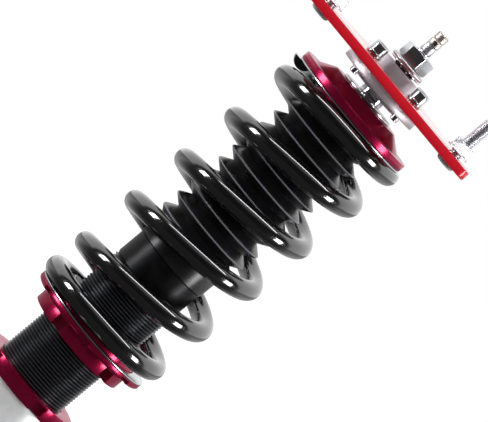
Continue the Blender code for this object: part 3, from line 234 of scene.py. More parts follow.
def moulded_rubber():
    """Moulded black rubber: satin, with a fine grain, a grey bloom, and paler along the ribs' crests as a
    painted highlight.
    """
    made, tree, shader, place = new_finish("moulded_black_rubber", Specular_IOR_Level=0.6)
    bloom = add_node(tree, "ShaderNodeTexNoise", {"Vector": place, "Scale": 60.0, "Detail": 3.0})
    tones = ("0B0B0C", "19191B")
    tone = shade_by_pattern(tree, shader, bloom.outputs["Fac"], tones, (0.3, 0.8), (0.20, 0.36))
    crest = span("dust_boot")[2]
    # The paler crest tone is a painted highlight: a light line along each rib crest.
    paint_crest_highlights(tree, shader, place, tone, "7C7C84", crest - 0.5 * MM, crest - 0.1 * MM)
    grain = add_node(tree, "ShaderNodeTexNoise", {"Vector": place, "Scale": 900.0, "Detail": 3.0})
    bump = add_node(tree, "ShaderNodeBump", {"Height": grain.outputs["Fac"], "Distance": 0.02 * MM})
    tree.links.new(bump.outputs["Normal"], shader.inputs["Normal"])
    return made


def stop_foam():
    """Closed-cell polyurethane foam: pale yellow, matt, and pitted."""
    made, tree, shader, place = new_finish("bump_stop_foam", Roughness=0.85)
    cells = add_node(tree, "ShaderNodeTexVoronoi", {"Vector": place, "Scale": 700.0}).outputs["Distance"]
    shade_by_pattern(tree, shader, cells, ("B8972A", "E2C650"), (0.0, 0.6))
    bump = add_node(tree, "ShaderNodeBump", {"Height": cells, "Distance": 0.10 * MM})
    tree.links.new(bump.outputs["Normal"], shader.inputs["Normal"])
    return made


def woven_liner():
    """Woven liner cloth: dull brown threads that cross."""
    made, tree, shader, place = new_finish("woven_bearing_liner", Roughness=0.65)
    weave = add_node(tree, "ShaderNodeTexBrick", {"Vector": place, "Scale": 1200.0})
    shade_by_pattern(tree, shader, weave.outputs["Fac"], ("6A5A3A", "3E3524"))
    return made


def galvanised_steel():
    """Pressed and welded steel under dull zinc: nearly white in a studio, with faint cloudy spangle."""
    made, tree, shader, place = new_finish("dull_galvanised_steel", Metallic=0.45)
    cloud = add_node(tree, "ShaderNodeTexNoise", {"Vector": place, "Scale": 70.0, "Detail": 5.0})
    tone = shade_by_pattern(tree, shader, cloud.outputs["Fac"], ("C8CCD2", "F4F6F8"))
    spangle = add_node(tree, "ShaderNodeTexVoronoi", {"Vector": place, "Scale": 220.0})
    flake = add_node(
        tree,
        "ShaderNodeMix",
        {"Factor": 0.16, 6: tone, 7: spangle.outputs["Color"]},
        data_type="RGBA",
        blend_type="SOFT_LIGHT",
    )
    pale = add_node(tree, "ShaderNodeHueSaturation", {"Saturation": 0.15, "Color": flake.outputs[2]})
    tree.links.new(pale.outputs["Color"], shader.inputs["Base Color"])
    dullness = add_node(
        tree,
        "ShaderNodeMapRange",
        {"Value": spangle.outputs["Distance"], "To Min": 0.34, "To Max": 0.50},
    )
    tree.links.new(dullness.outputs["Result"], shader.inputs["Roughness"])
    return made


red_plate_finish = anodised_aluminium(
    "red_anodised_aluminium",
    "D00820",
    "DA0C28",
    0.44,
    Metallic=0.10,
    Specular_IOR_Level=0.20,
    Coat_Weight=1.0,
    Coat_Roughness=0.04,
)
magenta_finish = anodised_aluminium(
    "magenta_anodised_aluminium",
    "A00C3E",
    "A80E44",
    0.26,
    Metallic=0.80,
    Specular_Tint=colour("F0A8C0"),
    Coat_Weight=0.45,
    Coat_Roughness=0.13,
)
zinc_finish = bright_metal("bright_zinc_plate", "BEC0C6", 0.18, 0.08)
stud_finish = bright_metal("dull_zinc_plate", "D0D0D8", 0.40, 0.08)
stem_finish = turned_metal("turned_steel", "A8A6B0", 0.34)
washer_finish = turned_metal("turned_zinc_plate", "C4C4CC", 0.30)
chrome_finish = bright_metal("hard_chrome", "D8DADD", 0.06, 0.04)
# The rosy tint of this aluminium's colour is a painted reflection of the red camber plate.
machined_finish = turned_metal("turned_aluminium", "D0B4BE", 0.34, metallic=0.75)
brass_finish = bright_metal("champagne_brass", "CFC0AA", 0.40, 0.08)
oxide_finish = bright_metal("black_oxide", "17171A", 0.30, 0.10)
spring_finish = gloss_powder_coat()
thread_finish = black_thread_coat()
rubber_finish = moulded_rubber()
foam_finish = stop_foam()
liner_finish = woven_liner()
bracket_finish = galvanised_steel()

finish_of_slot = {
    "red_anodised_aluminium": red_plate_finish,
    "magenta_anodised_aluminium": magenta_finish,
    "zinc_plated_steel": zinc_finish,
    "hard_chromed_steel": chrome_finish,
    "machined_aluminium": machined_finish,
    "black_coated_steel": thread_finish,
    "black_powder_coat": spring_finish,
    "blackened_steel": oxide_finish,
    "black_rubber": rubber_finish,
    "polyurethane_foam": foam_finish,
    "brass": brass_finish,
    "sintered_bronze": bright_metal("sintered_bronze", "8C6A3C", 0.40, 0.10),
    "ptfe_liner": liner_finish,
}


def finish_of(node):
    return finish_of_slot[slot_of[node]]


# ----------------------------------------------------------------------
# Ways of making
# ----------------------------------------------------------------------

def pick(*pieces):
    """Select these alone, and make the first one active."""
    bpy.ops.object.select_all(action="DESELECT")
    for piece in pieces:
        piece.select_set(True)
    bpy.context.view_layer.objects.active = pieces[0]


def apply_modifier(piece, kind, **settings):
    modifier = piece.modifiers.new(kind.lower(), kind)
    for key, value in settings.items():
        setattr(modifier, key, value)
    bpy.context.view_layer.objects.active = piece
    bpy.ops.object.modifier_apply(modifier=modifier.name)


def cut(piece, tool, operation="DIFFERENCE"):
    apply_modifier(piece, "BOOLEAN", object=tool, operation=operation, solver="EXACT")
    bpy.data.objects.remove(tool)


def join(piece, *others):
    pick(piece, *others)
    bpy.ops.object.join()
    bpy.ops.object.select_all(action="DESELECT")
    return piece


def soften(piece, width, segments=2, angle=30.0):
    """Break the sharp edges with a small radius, and smooth the rest."""
    if width > 0:
        apply_modifier(
            piece,
            "BEVEL",
            width=width,
            segments=segments,
            limit_method="ANGLE",
            angle_limit=math.radians(angle),
            harden_normals=False,
        )
    pick(piece)
    bpy.ops.object.shade_smooth_by_angle(angle=math.radians(angle))
    bpy.ops.object.select_all(action="DESELECT")
    return piece


def named(name, finish):
    """The object that an operator has just made, with its name and its one material."""
    piece = bpy.context.object
    piece.name = name
    piece.data.name = name
    piece.data.materials.clear()
    piece.data.materials.append(finish)
    piece.select_set(False)
    return piece


def settle(piece):
    """Put the object at the origin, unturned and unscaled, with its place in its mesh."""
    pick(piece)
    bpy.ops.object.transform_apply(location=True, rotation=True, scale=True)
    bpy.ops.object.select_all(action="DESELECT")
    return piece


def turn_on_lathe(name, finish, profile, sides=96):
    """Turn a piece about the strut's axis. A bored one's profile runs down outside and back up its bore."""
    bored = all(radius > 0 for radius, height in profile)
    rings = [ring for ring in profile if ring[0] > 0]
    if bored:
        rings.append(rings[0])
    radius, height = rings[0]
    bpy.ops.mesh.primitive_circle_add(vertices=sides, radius=radius, enter_editmode=True)
    bpy.ops.transform.translate(value=(0, 0, height))
    for next_radius, next_height in rings[1:]:
        step = {"value": (0, 0, next_height - height)}
        bpy.ops.mesh.extrude_region_move(TRANSFORM_OT_translate=step)
        share = next_radius / radius
        bpy.ops.transform.resize(value=(share, share, 1), center_override=(0, 0, next_height))
        radius, height = next_radius, next_height
    bpy.ops.mesh.select_all(action="SELECT")
    bpy.ops.mesh.remove_doubles(threshold=0.001 * MM)
    if not bored:
        bpy.ops.mesh.fill_holes(sides=0)
    bpy.ops.mesh.normals_make_consistent(inside=False)
    bpy.ops.object.mode_set(mode="OBJECT")
    return named(name, finish)


def wind_thread(root, crest, pitch, low, high, finish, sides=64):
    """A closed ridge wound up a shank, with a narrow flat crest and its base sunk below the root."""
    sink = 0.1 * MM
    base_share = 0.90
    crest_share = 0.16
    depth = crest - root + sink
    middle = crest - depth / 2
    start = low + base_share * pitch / 2
    bpy.ops.mesh.primitive_plane_add(size=1, enter_editmode=True)
    bpy.ops.mesh.delete(type="ONLY_FACE")
    bpy.ops.mesh.select_all(action="SELECT")
    bpy.ops.transform.resize(value=(depth, base_share * pitch, 1))
    bpy.ops.transform.rotate(value=math.radians(90), orient_axis="X", center_override=(0, 0, 0))
    bpy.ops.transform.translate(value=(middle, 0, start))
    bpy.ops.object.mode_set(mode="OBJECT")
    ridge = named("thread_ridge", finish)
    for vertex in ridge.data.vertices:
        vertex.select = vertex.co.x > middle
    for edge in ridge.data.edges:
        edge.select = all(ridge.data.vertices[v].select for v in edge.vertices)
    bpy.ops.object.mode_set(mode="EDIT")
    bpy.ops.transform.resize(value=(1, 1, crest_share), center_override=(middle, 0, start))
    bpy.ops.object.mode_set(mode="OBJECT")
    apply_modifier(
        ridge,
        "SCREW",
        steps=sides,
        render_steps=sides,
        screw_offset=pitch,
        iterations=int((high - low) / pitch - base_share),
        use_merge_vertices=False,
    )
    bpy.ops.object.mode_set(mode="EDIT")
    bpy.ops.mesh.select_all(action="SELECT")
    bpy.ops.mesh.fill_holes(sides=4)
    bpy.ops.mesh.normals_make_consistent(inside=False)
    bpy.ops.object.mode_set(mode="OBJECT")
    return ridge


def hexagon_bar(name, finish, flats, low, high, turn=0.0):
    """A hexagonal bar with a flat towards -Y before it is turned, and its corners chamfered at both ends."""
    corner = flats / math.sqrt(3)
    bpy.ops.mesh.primitive_cylinder_add(
        vertices=6,
        radius=corner,
        depth=high - low,
        location=(0, 0, (low + high) / 2),
        rotation=(0, 0, turn + math.radians(30)),
    )
    bar = settle(named(name, finish))
    slope = 0.55
    over = 1.0 * MM
    face = flats / 2 * 0.985
    drop = (corner - flats / 2) * slope + over * slope
    chamfer = [
        (0, high),
        (face, high),
        (corner + over, high - drop),
        (corner + over, low + drop),
        (face, low),
        (0, low),
    ]
    cut(bar, turn_on_lathe("chamfer", finish, chamfer), "INTERSECT")
    return bar


def round_bar(name, finish, radius, length, middle, sides=32, lying=False):
    """A plain round bar about its middle, upright or lying along Y."""
    turn = math.radians(90) if lying else 0
    bpy.ops.mesh.primitive_cylinder_add(
        vertices=sides, radius=radius, depth=length, location=middle, rotation=(turn, 0, 0)
    )
    return settle(named(name, finish))


def bore_nut(nut, finish, bore, low, high, sides):
    """Drill a nut through, with a chamfer at the top of its bore."""
    over = 1.0 * MM
    chamfer = 0.6 * MM
    drill = [
        (0, high + over),
        (bore + chamfer + over, high + over),
        (bore, high - chamfer),
        (bore, low - over),
        (0, low - over),
    ]
    cut(nut, turn_on_lathe("drill", finish, drill, sides))


def mesh_of_curve(name, curve, finish):
    """The mesh that a curve stands for, closed and with its faces outwards."""
    made = bpy.data.objects.new(name, curve)
    bpy.context.scene.collection.objects.link(made)
    pick(made)
    bpy.ops.object.convert(target="MESH")
    bpy.ops.object.mode_set(mode="EDIT")
    bpy.ops.mesh.select_all(action="SELECT")
    bpy.ops.mesh.remove_doubles(threshold=0.002 * MM)
    bpy.ops.mesh.normals_make_consistent(inside=False)
    bpy.ops.object.mode_set(mode="OBJECT")
    return named(name, finish)


def move_copy(piece, name, place):
    """Another of the same piece with its own mesh, moved by a matrix."""
    other = piece.copy()
    other.data = piece.data.copy()
    other.name = name
    other.data.name = name
    bpy.context.scene.collection.objects.link(other)
    other.data.transform(place)
    return other


def stand_for(piece, node):
    """The piece is shown in place of a node and rides on its body."""
    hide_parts(node)
    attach(piece, body_of[node])
    return piece


def lathe_piece(node, work, finish, profile, sides=96, edge=0.0, segments=2, angle=30.0):
    """A piece that only needs turning, named for its node and its work, with its edges broken."""
    piece = turn_on_lathe(f"{node}_{work}", finish, profile, sides)
    return stand_for(soften(piece, edge, segments, angle), node)


def middle_of(node):
    low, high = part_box(node)
    return Vector(((low.x + high.x) / 2, (low.y + high.y) / 2, 0))


def cutting_blocks(count, width, depth, radius, top, first):
    """A ring of blocks for cutting notches below a height, the first one turned this far from -Y."""
    tall = 20 * MM
    blocks = []
    for k in range(count):
        turn = first + 2 * math.pi * k / count
        place = Matrix.Rotation(turn, 4, "Z") @ Vector((0, -radius, top - tall / 2))
        bpy.ops.mesh.primitive_cube_add(
            size=1, location=place, rotation=(0, 0, turn), scale=(width, depth * 2, tall)
        )
        blocks.append(settle(named("block", zinc_finish)))
    return join(blocks[0], *blocks[1:])


GAP = 0.3 * MM


# ----------------------------------------------------------------------
# Camber plate, studs and nuts
# ----------------------------------------------------------------------

CAMBER_TRAVEL = 9.0 * MM
SCREW_SHANK_RADIUS = 2.9 * MM
STUD_SHANK_RADIUS = 4.0 * MM


def arc(centre, radius, start, end, count):
    """Points of an arc about a centre, from one angle to another in degrees."""
    points = []
    for k in range(count + 1):
        angle = math.radians(start + (end - start) * k / count)
        points.append(Vector((centre[0] + radius * math.cos(angle), centre[1] + radius * math.sin(angle))))
    return points


def slot_outline(x, half_length, radius):
    """The outline of a slot that runs along Y, with round ends."""
    return arc((x, half_length), radius, 0, 180, 24) + arc((x, -half_length), radius, 180, 360, 24)


def rounded(corners, radius):
    """The outline through these corners, anticlockwise, each one rounded by an arc."""
    steps = 10
    outline = []
    for k, corner in enumerate(corners):
        here = Vector(corner)
        to_last = (Vector(corners[k - 1]) - here).normalized()
        to_next = (Vector(corners[(k + 1) % len(corners)]) - here).normalized()
        half = to_last.angle(to_next) / 2
        centre = here + (to_last + to_next).normalized() * (radius / math.sin(half))
        start = here + to_last * (radius / math.tan(half)) - centre
        sweep = math.pi - 2 * half
        outline += [centre + Matrix.Rotation(sweep * i / steps, 2) @ start for i in range(steps + 1)]
    return outline


def flat_bar(name, finish, outlines, thickness, edge):
    """A plate cut to these outlines, lying about Z = 0, with its edges broken."""
    curve = bpy.data.curves.new(name, "CURVE")
    curve.dimensions = "2D"
    curve.fill_mode = "BOTH"
    curve.extrude = thickness / 2 - edge
    curve.bevel_depth = edge
    curve.bevel_resolution = 1
    curve.offset = -edge
    for outline in outlines:
        spline = curve.splines.new("POLY")
        spline.points.add(len(outline) - 1)
        for point, place in zip(spline.points, outline):
            point.co = (place.x, place.y, 0, 1)
        spline.use_cyclic_u = True
    return mesh_of_curve(name, curve, finish)


def camber_plate():
    low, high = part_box("camber_plate")
    thickness = high.z - low.z
    back_half_width = 22.0 * MM
    side_length = 32.0 * MM
    corners = [
        (high.x, low.y),
        (high.x, low.y + side_length),
        (back_half_width, high.y),
        (-back_half_width, high.y),
        (low.x, low.y + side_length),
        (low.x, low.y),
    ]
    corner_radius = 7.0 * MM
    window_radius = 13.3 * MM
    outlines = [rounded(corners, corner_radius)]
    for side in ("left", "right", "back"):
        stud = middle_of("tower_stud_" + side)
        outlines.append(arc(stud, STUD_SHANK_RADIUS + GAP, 0, 350, 35))
    outlines.append(slot_outline(0, CAMBER_TRAVEL + GAP, window_radius))
    screw = middle_of("housing_screw_back_right")
    for side in (-1, 1):
        outlines.append(slot_outline(side * screw.x, screw.y + CAMBER_TRAVEL + GAP, SCREW_SHANK_RADIUS + GAP))
    plate = flat_bar("camber_plate_cut", red_plate_finish, outlines, thickness, 0.5 * MM)
    plate.data.transform(Matrix.Translation((0, 0, (low.z + high.z) / 2)))
    soften(plate, 0)
    stand_for(plate, "camber_plate")


def tower_studs():
    low, high, head_radius = span("tower_stud_left")
    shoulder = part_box("camber_plate")[0].z - GAP
    pitch = 1.25 * MM
    root = STUD_SHANK_RADIUS - 0.68 * MM
    head = 2.2 * MM
    profile = [
        (0, high),
        (root - 0.5 * MM, high),
        (root, high - 0.8 * MM),
        (root, 1.0 * MM),
        (STUD_SHANK_RADIUS, 0.2 * MM),
        (STUD_SHANK_RADIUS, shoulder),
        (head_radius - 0.4 * MM, shoulder),
        (head_radius, shoulder - 0.4 * MM),
        (head_radius * 0.93, shoulder - head * 0.6),
        (head_radius * 0.75, shoulder - head * 0.9),
        (head_radius * 0.45, low),
        (0, low),
    ]
    stud = turn_on_lathe("stud", stud_finish, profile, 48)
    ridge = wind_thread(root, STUD_SHANK_RADIUS, pitch, 0.8 * MM, high - 0.3 * MM, stud_finish, 40)
    join(stud, ridge)
    soften(stud, 0)
    for side in ("left", "right", "back"):
        node = "tower_stud_" + side
        stand_for(move_copy(stud, node + "_turned", Matrix.Translation(middle_of(node))), node)
    bpy.data.objects.remove(stud)


def tower_nuts():
    low, high, flange_radius = span("tower_nut_left")
    flats = 13.0 * MM
    flange = 1.3 * MM
    nut = hexagon_bar("nut", stud_finish, flats, low + flange * 0.6, high)
    skirt_top = low + flange + 0.9 * MM
    skirt = [
        (0, skirt_top),
        (flats / 2 - 0.2 * MM, skirt_top),
        (flange_radius - 0.3 * MM, low + flange * 0.75),
        (flange_radius, low + flange * 0.5),
        (flange_radius, low + 0.2 * MM),
        (flange_radius - 0.2 * MM, low),
        (0, low),
    ]
    cut(nut, turn_on_lathe("skirt", stud_finish, skirt, 64), "UNION")
    bore_nut(nut, stud_finish, STUD_SHANK_RADIUS + GAP, low, high, 48)
    soften(nut, 0.12 * MM)
    for side, turn in (("left", -22.0), ("right", 30.0), ("back", 12.0)):
        node = "tower_nut_" + side
        place = Matrix.Translation(middle_of(node)) @ Matrix.Rotation(math.radians(turn), 4, "Z")
        stand_for(move_copy(nut, node + "_milled", place), node)
    bpy.data.objects.remove(nut)


# ----------------------------------------------------------------------
# Bearing housing, its screws and the bearing
# ----------------------------------------------------------------------

def bearing_housing():
    low, high, flange = span("bearing_housing")
    plate_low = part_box("camber_plate")[0].z
    boss = 13.0 * MM
    bore = 11.3 * MM
    mouth = 9.6 * MM
    flange_top = plate_low - GAP
    flange_low = flange_top - 5.7 * MM
    skirt_top = 18.0 * MM
    skirt_foot = 15.8 * MM
    race_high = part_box("bearing_race")[1].z
    clip_low, clip_high, clip = span("race_circlip")
    profile = [
        (mouth, high - 0.5 * MM),
        (mouth + 0.6 * MM, high),
        (boss, high),
        (boss, flange_top),
        (flange, flange_top),
        (flange, flange_low),
        (skirt_top, flange_low),
        (skirt_foot, low),
        (bore, low),
        (bore, clip_low - GAP),
        (clip + GAP, clip_low - GAP),
        (clip + GAP, clip_high + GAP),
        (bore, clip_high + GAP),
        (bore, race_high + GAP),
        (mouth, race_high + GAP),
    ]
    housing = turn_on_lathe("bearing_housing_turned", machined_finish, profile, 128)
    screw = middle_of("housing_screw_back_right")
    for x in (-screw.x, screw.x):
        for y in (-screw.y, screw.y):
            middle = (x, y, (flange_top + flange_low) / 2)
            cut(housing, round_bar("drill", machined_finish, SCREW_SHANK_RADIUS + GAP, 12 * MM, middle))
    soften(housing, 0.35 * MM)
    stand_for(housing, "bearing_housing")


def housing_screws():
    low, high, head = span("housing_screw_front_left")
    washer_low, washer_high, washer = span("screw_washer_front_left")
    seat = washer_high + GAP
    shank_end = -3.0 * MM
    root_top = -3.6 * MM
    ridge_top = -3.2 * MM
    pitch = 1.0 * MM
    root = SCREW_SHANK_RADIUS - 0.55 * MM
    key_flats = 5.0 * MM
    key_depth = 3.0 * MM
    profile = [
        (0, high),
        (head - 0.8 * MM, high),
        (head - 0.2 * MM, high - 0.3 * MM),
        (head, high - 0.8 * MM),
        (head, seat + 0.25 * MM),
        (head - 0.25 * MM, seat),
        (SCREW_SHANK_RADIUS, seat),
        (SCREW_SHANK_RADIUS, shank_end),
        (root, root_top),
        (root, low + 0.5 * MM),
        (root - 0.5 * MM, low),
        (0, low),
    ]
    screw = turn_on_lathe("screw", zinc_finish, profile, 72)
    cut(screw, hexagon_bar("key", zinc_finish, key_flats, high - key_depth, high + key_depth))
    ridge = wind_thread(root, SCREW_SHANK_RADIUS, pitch, low + 0.2 * MM, ridge_top, zinc_finish, 32)
    join(screw, ridge)
    soften(screw, 0)
    ring = [
        (SCREW_SHANK_RADIUS + GAP, washer_high),
        (washer, washer_high),
        (washer, washer_low),
        (SCREW_SHANK_RADIUS + GAP, washer_low),
    ]
    disc = soften(turn_on_lathe("washer", zinc_finish, ring, 64), 0.25 * MM)
    for end in ("front", "back"):
        for side in ("left", "right"):
            node = f"housing_screw_{end}_{side}"
            place = Matrix.Translation(middle_of(node)) @ Matrix.Rotation(math.radians(14), 4, "Z")
            stand_for(move_copy(screw, node + "_turned", place), node)
            node = f"screw_washer_{end}_{side}"
            stand_for(move_copy(disc, node + "_turned", Matrix.Translation(middle_of(node))), node)
    bpy.data.objects.remove(screw)
    bpy.data.objects.remove(disc)


def ball_profile(radius, half_width, height, count, upward):
    """Points down a ball's side about its middle height, or up it."""
    limit = math.asin(half_width / radius)
    points = []
    for k in range(count + 1):
        angle = limit - 2 * limit * k / count
        points.append((radius * math.cos(angle), height + radius * math.sin(angle)))
    return points[::-1] if upward else points


def spherical_bearing():
    low, high, radius = span("bearing_ball")
    middle = (low + high) / 2
    bore = 6.3 * MM
    side = ball_profile(radius, (high - low) / 2, middle, 16, False)
    profile = [(bore, high), *side, (bore, low)]
    lathe_piece("bearing_ball", "ground", chrome_finish, profile)

    low, high, radius = span("bearing_race")
    inner = 9.9 * MM
    profile = [(radius, high), (radius, low)] + ball_profile(inner, (high - low) / 2, middle, 12, True)
    lathe_piece("bearing_race", "ground", zinc_finish, profile)

    low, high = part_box("bearing_liner")
    half = (high.z - low.z) / 2
    outer = 9.6 * MM
    inner = 9.0 * MM
    profile = ball_profile(outer, half, middle, 12, False) + ball_profile(inner, half, middle, 12, True)
    lathe_piece("bearing_liner", "pressed", liner_finish, profile)


# ----------------------------------------------------------------------
# Stack on the rod's end, and the adjuster
# ----------------------------------------------------------------------

ROD_END_RADIUS = 6.0 * MM
ROD_END_BORE = ROD_END_RADIUS + GAP
NEEDLE_BORE = 1.8 * MM
KNOB_SIDES = 56


def washer(node, bore, edge, finish, sides=96, segments=2):
    """A plain flat ring as large as its node."""
    low, high, radius = span(node)
    profile = [(bore, high), (radius, high), (radius, low), (bore, low)]
    lathe_piece(node, "turned", finish, profile, sides, edge, segments)


def rod_end_stack():
    """What is clamped on the rod's end. The upper spacer is cut back beneath, so that it can tilt."""
    low, high, radius = span("upper_cone_spacer")
    neck = 7.0 * MM
    profile = [
        (ROD_END_BORE, high),
        (radius, high),
        (radius, high - 0.4 * MM),
        (radius - 1.4 * MM, high - 0.8 * MM),
        (neck + 0.8 * MM, high - 1.1 * MM),
        (neck, high - 1.9 * MM),
        (neck, low),
        (ROD_END_BORE, low),
    ]
    lathe_piece("upper_cone_spacer", "turned", chrome_finish, profile, edge=0.1 * MM)

    washer("top_washer", ROD_END_BORE, 1.3 * MM, washer_finish, segments=6)

    low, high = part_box("top_nut")
    flats = 19.0 * MM
    nut = hexagon_bar("top_nut_milled", zinc_finish, flats, low.z, high.z, math.radians(-10.6))
    bore_nut(nut, zinc_finish, ROD_END_BORE, low.z, high.z, 64)
    stand_for(soften(nut, 0.15 * MM), "top_nut")

    low, high, radius = span("lower_cone_spacer")
    profile = [
        (ROD_END_BORE, high),
        (neck, high),
        (neck, high - 0.6 * MM),
        (radius, high - 3.0 * MM),
        (radius, low),
        (ROD_END_BORE, low),
    ]
    lathe_piece("lower_cone_spacer", "turned", chrome_finish, profile, edge=0.2 * MM)

    washer("perch_washer", ROD_END_BORE, 0.3 * MM, zinc_finish)
    washer("rod_step_washer", ROD_END_BORE, 0.2 * MM, zinc_finish)


def damping_adjuster():
    low, high, radius = span("adjuster_bush")
    stem = 2.9 * MM
    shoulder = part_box("piston_rod")[1].z + GAP
    profile = [
        (NEEDLE_BORE, high),
        (radius, high),
        (radius, shoulder),
        (stem, shoulder),
        (stem, low),
        (NEEDLE_BORE, low),
    ]
    lathe_piece("adjuster_bush", "turned", stem_finish, profile, 64, 0.25 * MM)

    low, high, neck = span("adjuster_knob")
    grip = 3.9 * MM
    neck_top = low + 3.2 * MM
    needle_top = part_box("adjuster_needle")[1].z + GAP
    rows = 9
    grip_low = neck_top + 0.8 * MM
    grip_high = high - 0.7 * MM
    heights = [grip_high - (grip_high - grip_low) * k / rows for k in range(rows + 1)]
    profile = [(0, high), (grip - 0.7 * MM, high)]
    profile += [(grip, height) for height in heights]
    profile += [
        (grip - 0.5 * MM, neck_top + 0.3 * MM),
        (neck - 0.2 * MM, neck_top + 0.1 * MM),
        (neck, neck_top - 0.2 * MM),
        (neck, low + 0.2 * MM),
        (neck - 0.2 * MM, low),
        (NEEDLE_BORE, low),
        (NEEDLE_BORE, needle_top),
        (0, needle_top),
    ]
    knob = turn_on_lathe("adjuster_knob_turned", brass_finish, profile, KNOB_SIDES)
    for k, height in enumerate(heights[1:-1], start=1):
        knurl_row(knob, grip, height, k % 2)
    middle = (low + neck_top) / 2
    hole_floor = -1.5 * MM
    hole = (0, hole_floor - neck / 2, middle)
    cut(knob, round_bar("drill", oxide_finish, 1.4 * MM, neck, hole, lying=True))
    stand_for(soften(knob, 0, angle=20.0), "adjuster_knob")

    near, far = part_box("knob_grub_screw")
    length = far.y - near.y
    centre = (0, (near.y + far.y) / 2, middle)
    grub = round_bar("knob_grub_screw_turned", oxide_finish, 1.1 * MM, length, centre, lying=True)
    socket = (0, near.y, middle)
    cut(grub, round_bar("key", oxide_finish, 0.65 * MM, length, socket, sides=6, lying=True))
    stand_for(soften(grub, 0.1 * MM), "knob_grub_screw")

    low, high, radius = span("adjuster_needle")
    taper = 5 * MM
    profile = [(0, high), (radius, high), (radius, low + taper), (radius * 0.2, low), (0, low)]
    lathe_piece("adjuster_needle", "ground", chrome_finish, profile, 24, 0.1 * MM)


def knurl_row(piece, radius, height, phase):
    """Draw in every other vertex of one row of the grip, so that rows side by side make diamonds."""
    near = 0.02 * MM
    drawn_in = 0.93
    for vertex in piece.data.vertices:
        on_row = abs(vertex.co.z - height) < near and abs(math.hypot(*vertex.co.xy) - radius) < near
        place = round(math.atan2(vertex.co.y, vertex.co.x) / (2 * math.pi) * KNOB_SIDES)
        vertex.select = on_row and place % 2 == phase
    for edge in piece.data.edges:
        edge.select = False
    for face in piece.data.polygons:
        face.select = False
    bpy.context.view_layer.objects.active = piece
    bpy.ops.object.mode_set(mode="EDIT")
    bpy.ops.transform.resize(value=(drawn_in, drawn_in, 1), center_override=(0, 0, height))
    bpy.ops.object.mode_set(mode="OBJECT")


# ----------------------------------------------------------------------
# Perch, spring and seat
# ----------------------------------------------------------------------

BODY_FIT = 26.2 * MM


def upper_spring_perch():
    low, high, flange = span("upper_spring_perch")
    top = 26.0 * MM
    cone_foot = 36.5 * MM
    fillet_foot = 37.1 * MM
    spigot = 25.0 * MM
    spigot_bore = 22.6 * MM
    shoulder = high - 7.0 * MM
    flange_low = shoulder - 4.8 * MM
    roof = high - 5.4 * MM
    profile = [
        (ROD_END_BORE, high),
        (top, high),
        (cone_foot, shoulder + 0.3 * MM),
        (fillet_foot, shoulder),
        (flange, shoulder),
        (flange, flange_low),
        (spigot, flange_low),
        (spigot, low),
        (spigot_bore, low),
        (spigot_bore, roof),
        (ROD_END_BORE, roof),
    ]
    lathe_piece("upper_spring_perch", "turned", magenta_finish, profile, 160, 0.45 * MM, 3, 25.0)
    washer("perch_slip_washer", 30.0 * MM, 0.2 * MM, zinc_finish, 160)


def wire_centres(low, high):
    """Wire centres from the bottom tip up: a closed coil, the open coils, and a closed coil."""
    mean = 41.75 * MM
    turns = 6.33
    tip = 0.20
    end_pitch = 10.5 * MM
    first = low + 2.9 * MM
    last = high + 1.0 * MM
    steps_per_turn = 64

    def eased(turn, start, length):
        share = min(max((turn - start) / length, 0.0), 1.0)
        return length * (share ** 3 - share ** 4 / 2) + max(turn - start - length, 0.0)

    def open_turns(turn):
        return eased(turn, 0.73, 0.30) - eased(turn, turns - 1.00, 0.24)

    extra = (last - first - end_pitch * turns) / open_turns(turns)
    count = round(turns * steps_per_turn)
    places = []
    for k in range(count + 1):
        turn = turns * k / count
        angle = 2 * math.pi * (turn + tip)
        height = first + end_pitch * turn + extra * open_turns(turn)
        places.append((mean * math.cos(angle), mean * math.sin(angle), height))
    return places


def coil_spring():
    """Round wire wound between the two slip washers, with both ends ground flat against them."""
    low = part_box("seat_slip_washer")[1].z
    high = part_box("perch_slip_washer")[0].z
    places = wire_centres(low, high)
    curve = bpy.data.curves.new("spring_wire", "CURVE")
    curve.dimensions = "3D"
    curve.bevel_depth = 6.4 * MM
    curve.bevel_resolution = 10
    curve.use_fill_caps = True
    spline = curve.splines.new("POLY")
    spline.points.add(len(places) - 1)
    for point, place in zip(spline.points, places):
        point.co = (*place, 1)
    spring = mesh_of_curve("coil_spring_wound", curve, spring_finish)
    reach = 0.2
    for height in (low + GAP - reach / 2, high - GAP + reach / 2):
        bpy.ops.mesh.primitive_cube_add(size=reach, location=(0, 0, height))
        cut(spring, settle(named("grinder", spring_finish)))
    soften(spring, 0, angle=40.0)
    stand_for(spring, "coil_spring")
    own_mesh(spring)


def spring_seat():
    low, high, rim = span("spring_seat")
    rim_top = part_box("seat_slip_washer")[0].z - GAP
    spigot = 34.45 * MM
    notch = 4.0 * MM
    notch_top = rim_top - 0.9 * MM
    profile = [
        (BODY_FIT, high),
        (spigot - 0.8 * MM, high),
        (spigot, high - 0.8 * MM),
        (spigot, rim_top),
        (rim, rim_top),
        (rim, low + 0.9 * MM),
        (rim - 0.9 * MM, low),
        (BODY_FIT, low),
    ]
    seat = turn_on_lathe("spring_seat_turned", magenta_finish, profile, 160)
    cut(seat, cutting_blocks(7, 8.8 * MM, notch, rim, notch_top, math.radians(2.0)))
    stand_for(soften(seat, 0.3 * MM), "spring_seat")
    washer("seat_slip_washer", 35.35 * MM, 0.2 * MM, zinc_finish, 160)


def lock_collar(node, first_notch):
    """A ring on the body's thread, with five notches for a spanner below a thin flange."""
    low, high, radius = span(node)
    flange = 1.6 * MM
    notch = 5.3 * MM
    profile = [(BODY_FIT, high), (radius, high), (radius, low), (BODY_FIT, low)]
    collar = turn_on_lathe(node + "_turned", magenta_finish, profile, 160)
    cut(collar, cutting_blocks(5, 8.6 * MM, notch, radius, high - flange, math.radians(first_notch)))
    stand_for(soften(collar, 0.5 * MM, 3), node)


# ----------------------------------------------------------------------
# Damper, boot and bump stop
# ----------------------------------------------------------------------

